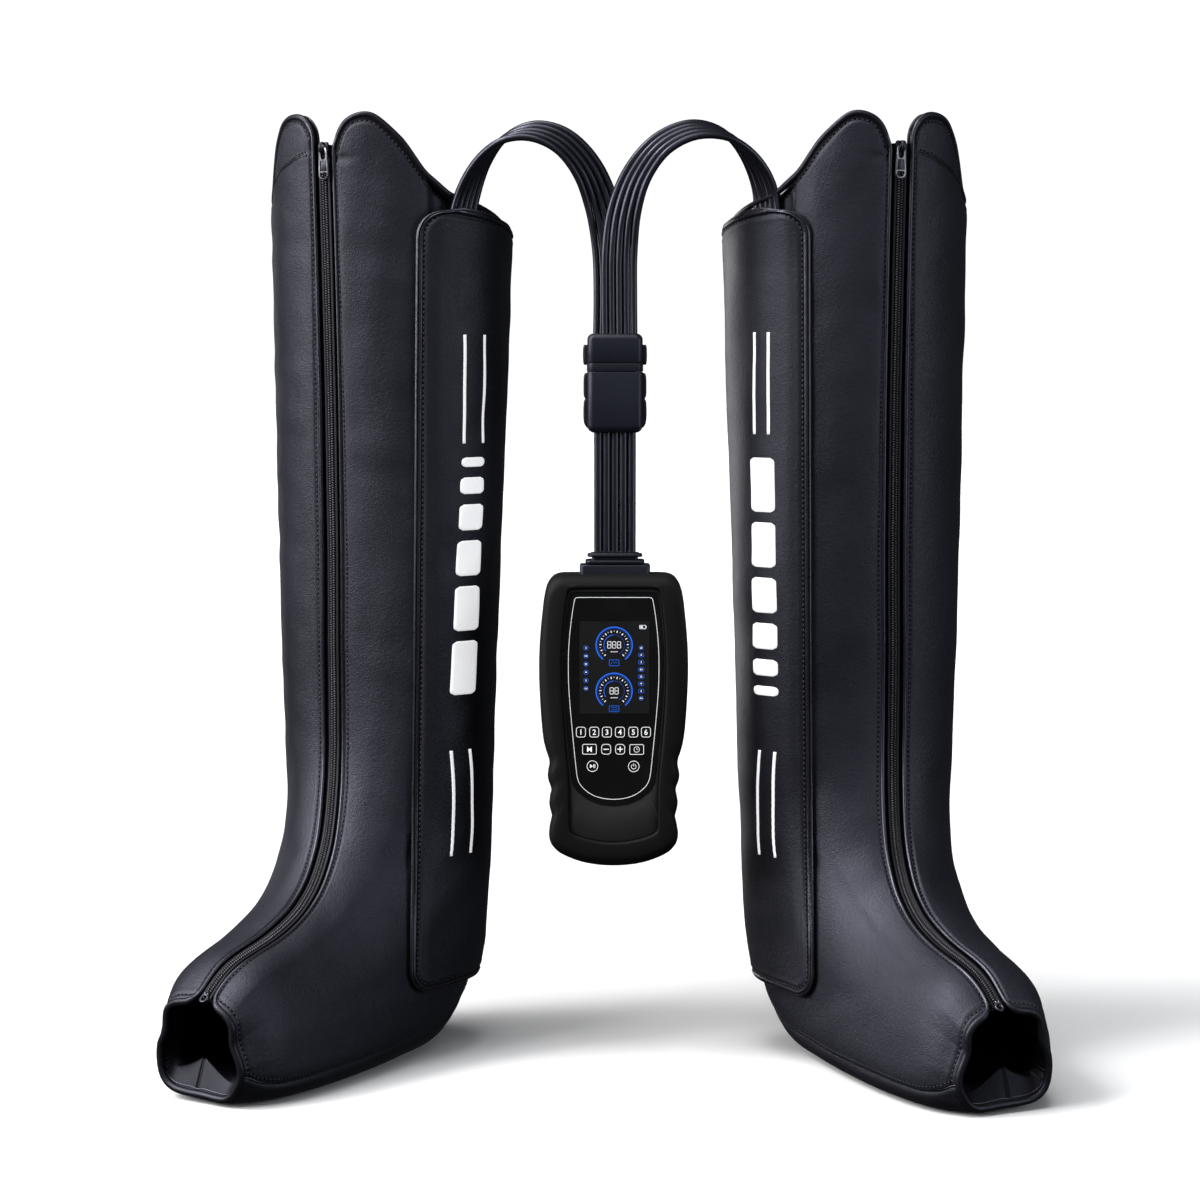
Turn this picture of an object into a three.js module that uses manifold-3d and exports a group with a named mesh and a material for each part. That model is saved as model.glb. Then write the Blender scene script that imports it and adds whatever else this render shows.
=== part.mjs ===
// Air compression therapy set: two full-leg boots, hose ribbons, quick coupler, hand-held pump.
// Millimetres, +Z up, front towards -Y, origin under the middle of the whole set.
import * as THREE from "three";
import { mergeVertices } from "three/addons/utils/BufferGeometryUtils.js";
import Module from "manifold-3d";

const wasm = await Module();
wasm.setup();
const { Manifold, Mesh } = wasm;

// ---------------------------------------------------------------- driving dimensions
const MOVE_X = -1.43; // puts the middle of the set's box over the origin
const MOVE_Y = 33.55;
const WALL = 5.0; // padded outer panel
const BLADDER_OUT = 14.0; // air bladder, from the outer surface inwards
const BLADDER_IN = 16.8;
const ZIP_DEEP = 2.6; // how far the zip tape lies below the outer surface
const ZIP_THICK = 1.5;
const CHANNEL = 6.6; // hose channel pressed into the panel under the flap
const FLAP_THICK = 4.4;
const FLAP_GAP_EDGE = 1.2; // flap to panel, at the free edge
const FLAP_GAP = 3.9; // and over the hose channel
// the flap's free edge, ahead of the leg's middle, by height
const FLAP_EDGE_Z = [59, 75, 90, 105, 120, 140, 160, 180, 200, 225, 250, 280, 310, 350, 400, 450, 500, 560, 620, 680, 731];
const FLAP_EDGE_U = [79.3, 77.8, 76.4, 74.8, 72.2, 67.8, 63.5, 59.7, 56.4, 53.3, 51.6, 51.3, 51.4, 52.2, 52.9, 53.6, 54.2, 54.8, 55.3, 56.0, 56.5];
const SLIDER_Z = 781; // height of the zip slider
const FLAP_CORNER = 22;
const FLAP_BOTTOM = 62;
const BRANCH_OD = 6.2; // one tube of a branch ribbon
const MAIN_OD = 7.2; // one tube of the main ribbon
const TUBES = 5;
const KEY_TRAVEL = 0.7;

// ---------------------------------------------------------------- boot surface
// stations from the toe rim to the thigh: front u,z  back u,z  half width  front and back roundness  skew
const ST = [
  [262.2, 85.8, 257.0, 0.0, 44.9, 3.3, 3.3, 0.15],
  [229.0, 112.5, 228.0, -1.5, 58.1, 2.7, 4.3, 0.13],
  [178.8, 132.0, 181.0, -1.5, 65.3, 2.2, 5.0, 0.14],
  [134.5, 155.4, 124.7, -1.5, 69.5, 2.0, 4.9, 0.14],
  [102.3, 186.5, 62.8, -0.5, 73.7, 2.05, 4.6, 0.1],
  [82.9, 223.6, -1.4, 3.0, 78.6, 2.2, 3.6, 0.06],
  [71.6, 265.5, -48.0, 35.5, 85.2, 2.25, 2.6, 0.03],
  [69.06, 315.0, -68.3, 105.0, 91.3, 2.2, 2.0, 0.0],
  [71.5, 370.0, -74.4, 200.0, 94.8, 2.12, 1.9, 0.0],
  [74.6, 440.0, -80.4, 310.0, 96.6, 2.08, 1.9, 0.0],
  [78.59, 530.0, -87.9, 440.0, 98.6, 2.05, 1.95, 0.01],
  [82.57, 620.0, -95.6, 565.0, 100.5, 2.01, 2.0, 0.02],
  [87.0, 720.0, -102.1, 690.0, 101.9, 1.98, 2.1, 0.02],
  [90.99, 810.0, -107.8, 800.0, 101.5, 1.95, 2.2, 0.02],
];
// where each boot stands: x, y, how far its toes turn out, mirror
const LEFT = { x: -190.8, y: 46.4, turn: (31.27 * Math.PI) / 180, mir: 1 };
const RIGHT = { x: -220.2, y: 32.0, turn: (23.7 * Math.PI) / 180, mir: -1 };
const RAD = Math.PI / 180;

const lerp = (a, b, t) => a + (b - a) * t;
const smooth = (t) => {
  t = Math.min(1, Math.max(0, t));
  return t * t * (3 - 2 * t);
};
function table(xs, ys, x) {
  if (x <= xs[0]) return ys[0];
  for (let i = 1; i < xs.length; i++)
    if (x <= xs[i])
      return lerp(ys[i - 1], ys[i], (x - xs[i - 1]) / (xs[i] - xs[i - 1]));
  return ys[ys.length - 1];
}
function station(s) {
  const n = ST.length - 1;
  const x = Math.min(1, Math.max(0, s)) * n;
  const i = Math.min(Math.floor(x), n - 1);
  const f = x - i;
  const out = [];
  for (let k = 0; k < 8; k++) {
    const p1 = ST[i][k],
      p2 = ST[i + 1][k];
    const p0 = i === 0 ? 2 * p1 - p2 : ST[i - 1][k];
    const p3 = i === n - 1 ? 2 * p2 - p1 : ST[i + 2][k];
    out.push(
      0.5 *
        (2 * p1 +
          (-p0 + p2) * f +
          (2 * p0 - 5 * p1 + 4 * p2 - p3) * f * f +
          (-p0 + 3 * p1 - 3 * p2 + p3) * f * f * f),
    );
  }
  return out;
}
// a point of the boot: s from toe to thigh, phi round the leg from the front (radians), off outwards
function skin(s, phi, off = 0) {
  const [Fu, Fz, Bu, Bz, w0, nt, nb, sk] = station(s);
  const cu = (Fu + Bu) / 2,
    cz = (Fz + Bz) / 2;
  let du = (Fu - Bu) / 2,
    dz = (Fz - Bz) / 2;
  let h = Math.hypot(du, dz);
  du /= h;
  dz /= h;
  h += off;
  const w = w0 + off;
  const c = Math.cos(phi),
    sn = Math.sin(phi);
  const m = c > 0 ? nt : nb;
  const r = (Math.abs(c) ** m + Math.abs(sn) ** m) ** (-1 / m);
  const a = r * c,
    b = r * sn * (1 - sk * a);
  const z = cz + dz * h * a;
  return [cu + du * h * a, w * b, Math.max(z, Math.max(-off, 0))];
}
function stand(p, boot) {
  const [u, v, z] = p;
  const c = Math.cos(boot.turn),
    s = Math.sin(boot.turn);
  const x = boot.x - u * s + v * c;
  const y = boot.y - u * c - v * s;
  return [boot.mir * x + MOVE_X, y + MOVE_Y, z];
}
// s at which the skin reaches height z, at an angle
function sAt(z, phi, off = 0) {
  let lo = 0.0,
    hi = 1.02;
  for (let k = 0; k < 26; k++) {
    const m = (lo + hi) / 2;
    if (skin(m, phi, off)[2] < z) lo = m;
    else hi = m;
  }
  return (lo + hi) / 2;
}
// height of the thigh rim round the leg, degrees from the front, towards the inner side
const RIM_A = [-180, -150, -122, -105, -87, -68, -55, -47, -43, -36.5, -28, -22, -16, -11, -7, -4.2, -2.6, -1, 2.5, 7.8, 9.4, 11, 13.5, 17.3, 21.5, 25, 29, 33.5, 38, 43.5, 49.5, 54, 58, 64, 68, 86.5, 105, 122.5, 150, 180];
const RIM_Z = [712, 714, 719, 727, 734, 740, 744, 750, 764, 787, 804, 808.5, 809.8, 808.6, 804, 797.5, 788.5, 780, 776, 778, 783, 792, 800.5, 806, 808.8, 809.8, 808.8, 803, 796, 787, 772, 761, 756, 748, 743, 735, 727, 720, 714, 712];
const rimS = (deg) => sAt(Math.min(table(RIM_A, RIM_Z, deg), 809.9), deg * RAD);
const zipDeg = (s) =>
  table(
    [0, 0.02, 0.05, 0.08, 0.1, 0.13, 0.17, 0.2, 0.25, 0.3, 0.35, 0.4, 0.45, 0.5, 0.55, 0.6, 0.7, 0.8, 0.9, 1],
    [9.6, 8.9, 9.0, 10.6, 12.4, 15.2, 17.2, 17.0, 13.8, 8.8, 4.6, 0.9, -1.7, -2.8, -2.8, -2.1, 0.0, 1.6, 2.4, 2.7],
    s,
  );
// half width of the gap between the two zip edges, millimetres
const zipHalf = (s) =>
  table(
    [0, 0.01, 0.02, 0.04, 0.06, 0.08, 0.1, 0.14, 0.2, 0.25, 0.3, 0.4, 0.5, 0.7, 0.9, 1],
    [14, 10.6, 9.4, 9.6, 10.4, 11.2, 11.4, 10.8, 10.4, 10.9, 11.3, 11.6, 11.3, 11.0, 11.1, 10.9],
    s,
  );
const zipHalfDeg = (s) => zipHalf(s) / station(s)[4] / RAD;
const seamDeg = (s) =>
  table(
    [0, 0.012, 0.03, 0.05, 0.08, 0.17, 0.26, 0.33, 0.42, 0.5, 0.6, 1],
    [111, 114, 120, 123.5, 125.5, 126, 128, 129, 132, 142, 150, 150],
    s,
  );
// the shallow channel under the flap, where the hoses run
function channel(deg, z) {
  const across = smooth((deg - 54) / 7) * (1 - smooth((deg - 136) / 12));
  return across * (CHANNEL * smooth((z - 160) / 50) + 1.4 * smooth((z - 697) / 30));
}

// ---------------------------------------------------------------- mesh helpers
function solid(verts, faces) {
  let v = 0;
  for (const [a, b, c] of faces) {
    const A = verts[a],
      B = verts[b],
      C = verts[c];
    v +=
      A[0] * (B[1] * C[2] - B[2] * C[1]) -
      A[1] * (B[0] * C[2] - B[2] * C[0]) +
      A[2] * (B[0] * C[1] - B[1] * C[0]);
  }
  const idx = [];
  for (const [a, b, c] of faces) v > 0 ? idx.push(a, b, c) : idx.push(a, c, b);
  const g = new THREE.BufferGeometry();
  g.setAttribute(
    "position",
    new THREE.Float32BufferAttribute(verts.flat(), 3),
  );
  g.setIndex(idx);
  return g;
}
// a closed slab between an outer and an inner grid, P(i, j, inner)
function slab(P, ni, nj) {
  const verts = [],
    faces = [];
  const w = nj + 1,
    N = (ni + 1) * w;
  for (let side = 0; side < 2; side++)
    for (let i = 0; i <= ni; i++)
      for (let j = 0; j <= nj; j++) verts.push(P(i, j, side === 1));
  const quad = (a, b, c, d) => faces.push([a, b, c], [a, c, d]);
  for (let i = 0; i < ni; i++)
    for (let j = 0; j < nj; j++) {
      const a = i * w + j;
      quad(a, a + 1, a + w + 1, a + w);
      quad(N + a, N + a + w, N + a + w + 1, N + a + 1);
    }
  for (let j = 0; j < nj; j++) {
    quad(j, N + j, N + j + 1, j + 1);
    const a = ni * w + j;
    quad(a, a + 1, N + a + 1, N + a);
  }
  for (let i = 0; i < ni; i++) {
    const a = i * w;
    quad(a, a + w, N + a + w, N + a);
    const b = i * w + nj;
    quad(b, N + b, N + b + w, b + w);
  }
  return solid(verts, faces);
}
// rings of equal length, closed by fans at both ends
function loft(rings) {
  const n = rings[0].length;
  const verts = rings.flat().map((p) => [...p]);
  const faces = [];
  for (let k = 0; k < rings.length - 1; k++)
    for (let i = 0; i < n; i++) {
      const a = k * n + i,
        b = k * n + ((i + 1) % n);
      faces.push([a, b, b + n], [a, b + n, a + n]);
    }
  const mid = (r) => r.reduce((s, p) => s.map((q, k) => q + p[k] / n), [0, 0, 0]);
  const A = verts.push(mid(rings[0])) - 1;
  const B = verts.push(mid(rings[rings.length - 1])) - 1;
  const last = (rings.length - 1) * n;
  for (let i = 0; i < n; i++) {
    const j = (i + 1) % n;
    faces.push([A, j, i], [B, last + i, last + j]);
  }
  return solid(verts, faces);
}
function toMan(g) {
  g = g.clone();
  for (const k of Object.keys(g.attributes))
    if (k !== "position") g.deleteAttribute(k);
  const m = mergeVertices(g, 1e-4);
  return new Manifold(
    new Mesh({
      numProp: 3,
      vertProperties: new Float32Array(m.attributes.position.array),
      triVerts: new Uint32Array(m.index.array),
    }),
  );
}
function fromMan(m) {
  const q = m.getMesh();
  const pos = new Float32Array(q.numVert * 3);
  for (let i = 0; i < q.numVert; i++)
    pos.set(q.vertProperties.subarray(i * q.numProp, i * q.numProp + 3), i * 3);
  const g = new THREE.BufferGeometry();
  g.setAttribute("position", new THREE.BufferAttribute(pos, 3));
  g.setIndex(Array.from(q.triVerts));
  return g;
}
const union = (...gs) => fromMan(gs.map(toMan).reduce((a, b) => a.add(b)));
const cut = (g, ...tools) =>
  fromMan(tools.map(toMan).reduce((a, b) => a.subtract(b), toMan(g)));
// outline in x,z, swept along y; a row per depth: [y, inset]
function pillow(outline, rows, centre) {
  return loft(
    rows.map(([y, inset]) =>
      outline.map(([x, z]) => {
        const dx = x - centre[0],
          dz = z - centre[1];
        const r = Math.hypot(dx, dz);
        const k = 1 - inset / r;
        return [centre[0] + dx * k, y, centre[1] + dz * k];
      }),
    ),
  );
}
const mirrorOutline = (half) => {
  // half runs from the top middle down the left side to the bottom middle, x from the middle
  const right = half
    .slice(1, -1)
    .reverse()
    .map(([x, z]) => [-x, z]);
  return [...half, ...right];
};
function rounded(cx, cz, w, h, r, n = 2) {
  const pts = [];
  const cs = [
    [1, 1, 0],
    [-1, 1, 90],
    [-1, -1, 180],
    [1, -1, 270],
  ];
  for (const [sx, sz, a0] of cs)
    for (let k = 0; k <= n; k++) {
      const a = (a0 + (90 * k) / n) * RAD;
      pts.push([
        cx + sx * (w / 2 - r) + r * Math.cos(a),
        cz + sz * (h / 2 - r) + r * Math.sin(a),
      ]);
    }
  return pts;
}
const circle = (cx, cz, r, n = 12) =>
  Array.from({ length: n }, (_, i) => {
    const a = (i / n) * 2 * Math.PI;
    return [cx + r * Math.cos(a), cz + r * Math.sin(a)];
  });
// straight prism of an x,z outline between two depths
const prism = (pts, y0, y1) =>
  loft([pts.map(([x, z]) => [x, y0, z]), pts.map(([x, z]) => [x, y1, z])]);
// prism with its edges rounded over by b
function block(cx, cz, w, h, r, y0, y1, b = 0.8, n = 2) {
  const at = (d) => rounded(cx, cz, w - 2 * d, h - 2 * d, Math.max(r - d, 0.2), n);
  const ring = (y, d) => at(d).map(([x, z]) => [x, y, z]);
  return loft([
    ring(y0, b),
    ring(y0 + 0.3 * b, 0.3 * b),
    ring(y0 + b, 0),
    ring(y1 - b, 0),
    ring(y1 - 0.3 * b, 0.3 * b),
    ring(y1, b),
  ]);
}
// prism of an outline in x,y between two heights
const pillar = (pts, z0, z1) =>
  loft([pts.map(([x, y]) => [x, y, z0]), pts.map(([x, y]) => [x, y, z1])]);
const roundedXY = (cx, cy, w, d, r, n = 2) => rounded(cx, cy, w, d, r, n);
// rod along x
const rodX = (x0, x1, cy, cz, r, n = 16) =>
  loft([
    circle(0, 0, r, n).map(([a, b]) => [x0, cy + a, cz + b]),
    circle(0, 0, r, n).map(([a, b]) => [x1, cy + a, cz + b]),
  ]);

// ---------------------------------------------------------------- scene group
const root = new THREE.Group();
const FINISH = {
  leather: { color: 0x1d1e23, roughness: 0.55, metalness: 0 },
  sole: { color: 0x1b1c20, roughness: 0.6, metalness: 0 },
  liner: { color: 0x18181a, roughness: 0.85, metalness: 0 },
  bladder: { color: 0x2a2a30, roughness: 0.5, metalness: 0 },
  zip: { color: 0x0e0e10, roughness: 0.8, metalness: 0 },
  gunmetal: { color: 0x3b3c40, roughness: 0.3, metalness: 0.9 },
  tube: { color: 0x0f0f13, roughness: 0.35, metalness: 0 },
  shell: { color: 0x17181b, roughness: 0.45, metalness: 0 },
  housing: { color: 0x1c1c1c, roughness: 0.6, metalness: 0 },
  rubber: { color: 0x0a0a0a, roughness: 0.8, metalness: 0 },
  glass: { color: 0x08080a, roughness: 0.1, metalness: 0 },
  board: { color: 0x1d4a2c, roughness: 0.6, metalness: 0 },
  cell: { color: 0x2a5a9a, roughness: 0.5, metalness: 0 },
  steel: { color: 0x9a9ca0, roughness: 0.3, metalness: 1 },
};
const mats = Object.fromEntries(
  Object.entries(FINISH).map(([k, v]) => [
    k,
    new THREE.MeshStandardMaterial(v),
  ]),
);
function node(name, geometry, finish) {
  geometry.computeVertexNormals();
  const m = new THREE.Mesh(geometry, mats[finish]);
  m.name = name;
  root.add(m);
  return m;
}

// ---------------------------------------------------------------- boots
const MED_COLS = [9, 12, 17, 23, 33, 44, 53, 61, 75, 90, 112, 132, 150];
const LAT_COLS = [0.8, 4, 9, 16, 28, 38, 47, 70, 105, 150];
const ROWS = 20;
const frac = (cols) =>
  cols.map((c) => (c - cols[0]) / (cols[cols.length - 1] - cols[0]));

function settle(sigma, degOf) {
  let s = sigma,
    d = 0;
  for (let k = 0; k < 8; k++) {
    d = degOf(s);
    s = sigma * rimS(d);
  }
  return [s, d];
}
function panel(boot, side) {
  // side 1: inner panel, side -1: outer panel
  const f = frac(side > 0 ? MED_COLS : LAT_COLS);
  const grid = [];
  for (let i = 0; i <= ROWS; i++)
    for (let j = 0; j < f.length; j++)
      grid.push(
        settle(i / ROWS, (s) => {
          const a = zipDeg(s) + side * zipHalfDeg(s);
          const b = side * seamDeg(s) - side * 0.25;
          return lerp(a, b, f[j]);
        }),
      );
  return slab(
    (i, j, inner) => {
      const [s, d] = grid[i * f.length + j];
      const z = skin(s, d * RAD)[2];
      const off = -(side > 0 ? channel(d, z) : 0) - (inner ? WALL : 0);
      return stand(skin(s, d * RAD, off), boot);
    },
    ROWS,
    f.length - 1,
  );
}
function soleStrip(boot) {
  const cols = [0, 0.18, 0.34, 0.5, 0.66, 0.82, 1];
  const grid = [];
  for (let i = 0; i <= ROWS; i++)
    for (const t of cols)
      grid.push(
        settle(i / ROWS, (s) => {
          const e = seamDeg(s) + 0.25;
          return lerp(e, 360 - e, t);
        }).map((q, k) => (k === 1 && q > 180 ? q - 360 : q)),
      );
  return slab(
    (i, j, inner) => {
      const [s, d] = grid[i * cols.length + j];
      return stand(skin(s, d * RAD, inner ? -WALL : 0), boot);
    },
    ROWS,
    cols.length - 1,
  );
}
function zipTape(boot) {
  const S0 = 0.022,
    S1 = sAt(783.5, 4 * RAD);
  return slab(
    (i, j, inner) => {
      const s = lerp(S0, S1, i / 22);
      const half = (zipHalf(s) - 1.0) / station(s)[4] / RAD;
      const d = zipDeg(s) + half * (j - 1);
      return stand(
        skin(s, d * RAD, -ZIP_DEEP - (inner ? ZIP_THICK : 0)),
        boot,
      );
    },
    22,
    2,
  );
}
function bladder(boot, from, to, rows) {
  const NJ = 14;
  return slab(
    (i, j, inner) => {
      const s = lerp(from, to, i / rows);
      const a = zipDeg(s) + zipHalfDeg(s) + 7;
      const b = zipDeg(s) - zipHalfDeg(s) - 7 + 360;
      const d = lerp(a, b, j / NJ);
      return stand(skin(s, d * RAD, inner ? -BLADDER_IN : -BLADDER_OUT), boot);
    },
    rows,
    NJ,
  );
}
// the level line round the boot at height z, from the front of the foot round the back, with arc lengths
const lineCache = new Map();
function level(z) {
  const key = z.toFixed(2);
  if (lineCache.has(key)) return lineCache.get(key);
  const pts = [];
  for (let d = 30; d <= 206; d += 2) {
    const s = sAt(z, d * RAD);
    if (s < 0.001 || s > 1.0) continue;
    const p = skin(s, d * RAD);
    pts.push([p[0], p[1], d]);
  }
  const arc = [0];
  for (let i = 1; i < pts.length; i++)
    arc.push(
      arc[i - 1] +
        Math.hypot(pts[i][0] - pts[i - 1][0], pts[i][1] - pts[i - 1][1]),
    );
  const find = (test) => {
    for (let i = 1; i < pts.length; i++)
      if (test(pts[i]) && !test(pts[i - 1])) return i;
    return 1;
  };
  const edge = table(FLAP_EDGE_Z, FLAP_EDGE_U, z);
  const i0 = find((p) => p[0] < edge);
  const f0 = (pts[i0 - 1][0] - edge) / (pts[i0 - 1][0] - pts[i0][0] || 1);
  const i1 = find((p) => p[2] >= 196);
  const f1 = (196 - pts[i1 - 1][2]) / (pts[i1][2] - pts[i1 - 1][2] || 1);
  const out = {
    pts,
    arc,
    start: lerp(arc[i0 - 1], arc[i0], f0),
    end: lerp(arc[i1 - 1], arc[i1], f1),
  };
  lineCache.set(key, out);
  return out;
}
function along(line, a) {
  const { pts, arc } = line;
  let i = 1;
  while (i < arc.length - 1 && arc[i] < a) i++;
  const t = (a - arc[i - 1]) / (arc[i] - arc[i - 1] || 1);
  const p = [
    lerp(pts[i - 1][0], pts[i][0], t),
    lerp(pts[i - 1][1], pts[i][1], t),
  ];
  const i2 = Math.min(pts.length - 1, i + 2),
    i3 = Math.max(0, i - 3);
  let tx = pts[i2][0] - pts[i3][0],
    ty = pts[i2][1] - pts[i3][1];
  const l = Math.hypot(tx, ty);
  return { p, n: [ty / l, -tx / l] };
}
const flapTop = (t) =>
  table([0, 0.07, 0.16, 0.25, 0.34, 0.42, 0.6, 1], [728, 731, 728.5, 725, 720.5, 716, 709, 705], t);
function flapPoint(t, tau, off) {
  const z = lerp(FLAP_BOTTOM, flapTop(t), tau);
  const line = level(z);
  const near = Math.min(z - FLAP_BOTTOM, flapTop(0) - z);
  const r = FLAP_CORNER;
  const back = near < r ? r - Math.sqrt(Math.max(0, r * r - (r - near) ** 2)) : 0;
  const a = lerp(line.start + back, line.end, t);
  const { p, n } = along(line, a);
  const d = (line.end - line.start) * t;
  const room = FLAP_GAP + 2.6 * smooth((z - 680) / 45) * (1 - smooth((d - 92) / 22));
  const o = lerp(FLAP_GAP_EDGE, room, smooth(d / 20)) + off;
  // u grows forwards: the outward normal of the level line, walked backwards round the inner side
  const sgn = n[0] * p[0] + n[1] * p[1] > 0 ? 1 : -1;
  return [p[0] + sgn * n[0] * o, p[1] + sgn * n[1] * o, z];
}
const FLAP_T = [0, 0.05, 0.12, 0.22, 0.32, 0.42, 0.52, 0.62, 0.72, 0.82, 0.91, 1];
const FLAP_TAU = [0, 0.012, 0.034, 0.07, 0.13, 0.25, 0.4, 0.55, 0.7, 0.85, 0.93, 0.966, 0.988, 1];
function flap(boot) {
  return slab(
    (i, j, inner) =>
      stand(flapPoint(FLAP_T[j], FLAP_TAU[i], inner ? 0 : FLAP_THICK), boot),
    FLAP_TAU.length - 1,
    FLAP_T.length - 1,
  );
}
// frame on the zip line: p, across (towards the inner side), down, out
function zipFrame(boot, z) {
  const at = (zz) => {
    const s = sAt(zz, 4 * RAD);
    return skin(s, zipDeg(s) * RAD, -ZIP_DEEP);
  };
  const P = stand(at(z), boot),
    Q = stand(at(z - 20), boot);
  const down = new THREE.Vector3(Q[0] - P[0], Q[1] - P[1], Q[2] - P[2]).normalize();
  const s = sAt(z, 4 * RAD),
    d = zipDeg(s);
  const A = stand(skin(s, (d - 3) * RAD), boot),
    B = stand(skin(s, (d + 3) * RAD), boot);
  const across = new THREE.Vector3(B[0] - A[0], B[1] - A[1], B[2] - A[2]);
  across.addScaledVector(down, -across.dot(down)).normalize();
  const out = new THREE.Vector3().crossVectors(across, down).normalize();
  const front = new THREE.Vector3(...stand([200, 0, z], boot)).sub(
    new THREE.Vector3(...P),
  );
  if (out.dot(front) < 0) out.negate();
  return { p: new THREE.Vector3(...P), across, down, out };
}
// local box: a across, b down, c out of the zip line
function inFrame(f, g) {
  const m = new THREE.Matrix4().makeBasis(f.across, f.down, f.out);
  m.setPosition(f.p);
  g = g.clone().applyMatrix4(m);
  const idx = g.index ? Array.from(g.index.array) : null;
  const verts = [];
  const pos = g.attributes.position;
  for (let i = 0; i < pos.count; i++)
    verts.push([pos.getX(i), pos.getY(i), pos.getZ(i)]);
  const faces = [];
  for (let i = 0; i < idx.length; i += 3)
    faces.push([idx[i], idx[i + 1], idx[i + 2]]);
  return solid(verts, faces);
}
const plate = (pts, c0, c1) =>
  loft([pts.map(([a, b]) => [a, b, c0]), pts.map(([a, b]) => [a, b, c1])]);
function zipSlider(boot) {
  const f = zipFrame(boot, SLIDER_Z);
  const body = plate(
    [
      [-4.8, -3.6],
      [-2.6, -4.8],
      [2.6, -4.8],
      [4.8, -3.6],
      [4.4, 2],
      [3.6, 8],
      [-3.6, 8],
      [-4.4, 2],
    ],
    0.9,
    3.6,
  );
  const bail = cut(
    loft([
      [[-1.3, -4.2, 3.2], [1.3, -4.2, 3.2], [1.3, 3.6, 3.2], [-1.3, 3.6, 3.2]],
      [[-1.3, -4.0, 6.2], [1.3, -4.0, 6.2], [1.3, 3.4, 6.2], [-1.3, 3.4, 6.2]],
      [[-1.3, -2.4, 7.8], [1.3, -2.4, 7.8], [1.3, 1.8, 7.8], [-1.3, 1.8, 7.8]],
    ]),
    loft([
      [[-2, -2.5, 3.6], [2, -2.5, 3.6], [2, 2.1, 3.6], [-2, 2.1, 3.6]],
      [[-2, -2.5, 6.2], [2, -2.5, 6.2], [2, 2.1, 6.2], [-2, 2.1, 6.2]],
    ]),
  );
  return inFrame(f, union(body, bail));
}
function zipPull(boot) {
  const f = zipFrame(boot, SLIDER_Z);
  const outer = [
    [-3.3, -1.4], [3.3, -1.4], [3.8, 3], [4.3, 14], [4.5, 22], [3.8, 25.2], [1.8, 26.6],
    [-1.8, 26.6], [-3.8, 25.2], [-4.5, 22], [-4.3, 14], [-3.8, 3],
  ];
  const g = cut(
    plate(outer, 4.1, 5.7),
    plate([[-2.0, 0.4], [2.0, 0.4], [2.0, 5.2], [-2.0, 5.2]], 3, 7),
    plate([[-2.9, 21.2], [2.9, 21.2], [2.6, 24.0], [1.3, 25.1], [-1.3, 25.1], [-2.6, 24.0]], 3, 7),
  );
  return inFrame(f, g);
}
for (const [name, boot] of [
  ["left", LEFT],
  ["right", RIGHT],
]) {
  node(name + "_inner_panel", panel(boot, 1), "leather");
  node(name + "_outer_panel", panel(boot, -1), "leather");
  node(name + "_sole_strip", soleStrip(boot), "sole");
  node(name + "_zip_tape", zipTape(boot), "zip");
  node(name + "_foot_bladder", bladder(boot, 0.03, 0.4, 8), "bladder");
  node(name + "_calf_bladder", bladder(boot, 0.408, 0.66, 5), "bladder");
  node(name + "_thigh_bladder", bladder(boot, 0.668, 0.905, 4), "bladder");
  node(name + "_hose_flap", flap(boot), "leather");
  node(name + "_zip_slider", zipSlider(boot), "gunmetal");
  node(name + "_zip_pull", zipPull(boot), "gunmetal");
}

// ---------------------------------------------------------------- hose ribbons
// middle line and across direction of each branch ribbon, boot end first
const ROUTE_L = [
  [-119.5, -18.6, 705.9], [-112.1, -17.0, 741.4], [-99.2, -20.4, 769.5],
  [-80.5, -27.0, 788.3], [-56.3, -34.3, 794.1], [-30.7, -37.7, 784.9],
  [-10.6, -35.8, 762.2], [1.9, -32.8, 731.3], [8.3, -34.0, 696.6],
  [9.7, -36.0, 660.2], [9.3, -36.7, 623.0],
];
const ACROSS_L = [
  [0.77, 0.638, 0], [0.567, 0.802, -0.187], [0.339, 0.94, -0.03],
  [0.157, 0.96, 0.232], [0.181, 0.821, 0.542], [0.378, 0.647, 0.662],
  [0.726, 0.483, 0.489], [0.961, 0.261, -0.09], [0.999, 0.049, 0.001],
  [1, 0, 0], [1, 0, 0],
];
const ROUTE_R = [
  [140.9, -23.0, 705.9], [139.7, -21.0, 744.2], [126.5, -27.1, 772.8],
  [105.4, -36.3, 791.0], [78.1, -44.6, 794.6], [51.1, -48.8, 782.2],
  [31.2, -49.4, 757.6], [20.2, -48.2, 726.8], [16.3, -45.6, 693.0],
  [16.0, -44.1, 657.9], [16.3, -43.7, 623.0],
];
const ACROSS_R = [
  [-0.679, 0.734, 0], [-0.616, 0.786, 0.049], [-0.527, 0.809, 0.26],
  [-0.369, 0.852, 0.371], [-0.263, 0.823, 0.503], [-0.379, 0.744, 0.55],
  [-0.64, 0.607, 0.471], [-0.919, 0.37, 0.137], [-0.997, 0.082, 0.001],
  [-1, 0, 0], [-1, 0, 0],
];
function knots(K, t) {
  const n = K.length - 1;
  const x = Math.min(1, Math.max(0, t)) * n;
  const i = Math.min(Math.floor(x), n - 1);
  const f = x - i;
  return [0, 1, 2].map((k) => {
    const p1 = K[i][k],
      p2 = K[i + 1][k];
    const p0 = i === 0 ? 2 * p1 - p2 : K[i - 1][k];
    const p3 = i === n - 1 ? 2 * p2 - p1 : K[i + 2][k];
    return (
      0.5 *
      (2 * p1 +
        (-p0 + p2) * f +
        (2 * p0 - 5 * p1 + 4 * p2 - p3) * f * f +
        (-p0 + 3 * p1 - 3 * p2 + p3) * f * f * f)
    );
  });
}
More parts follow.
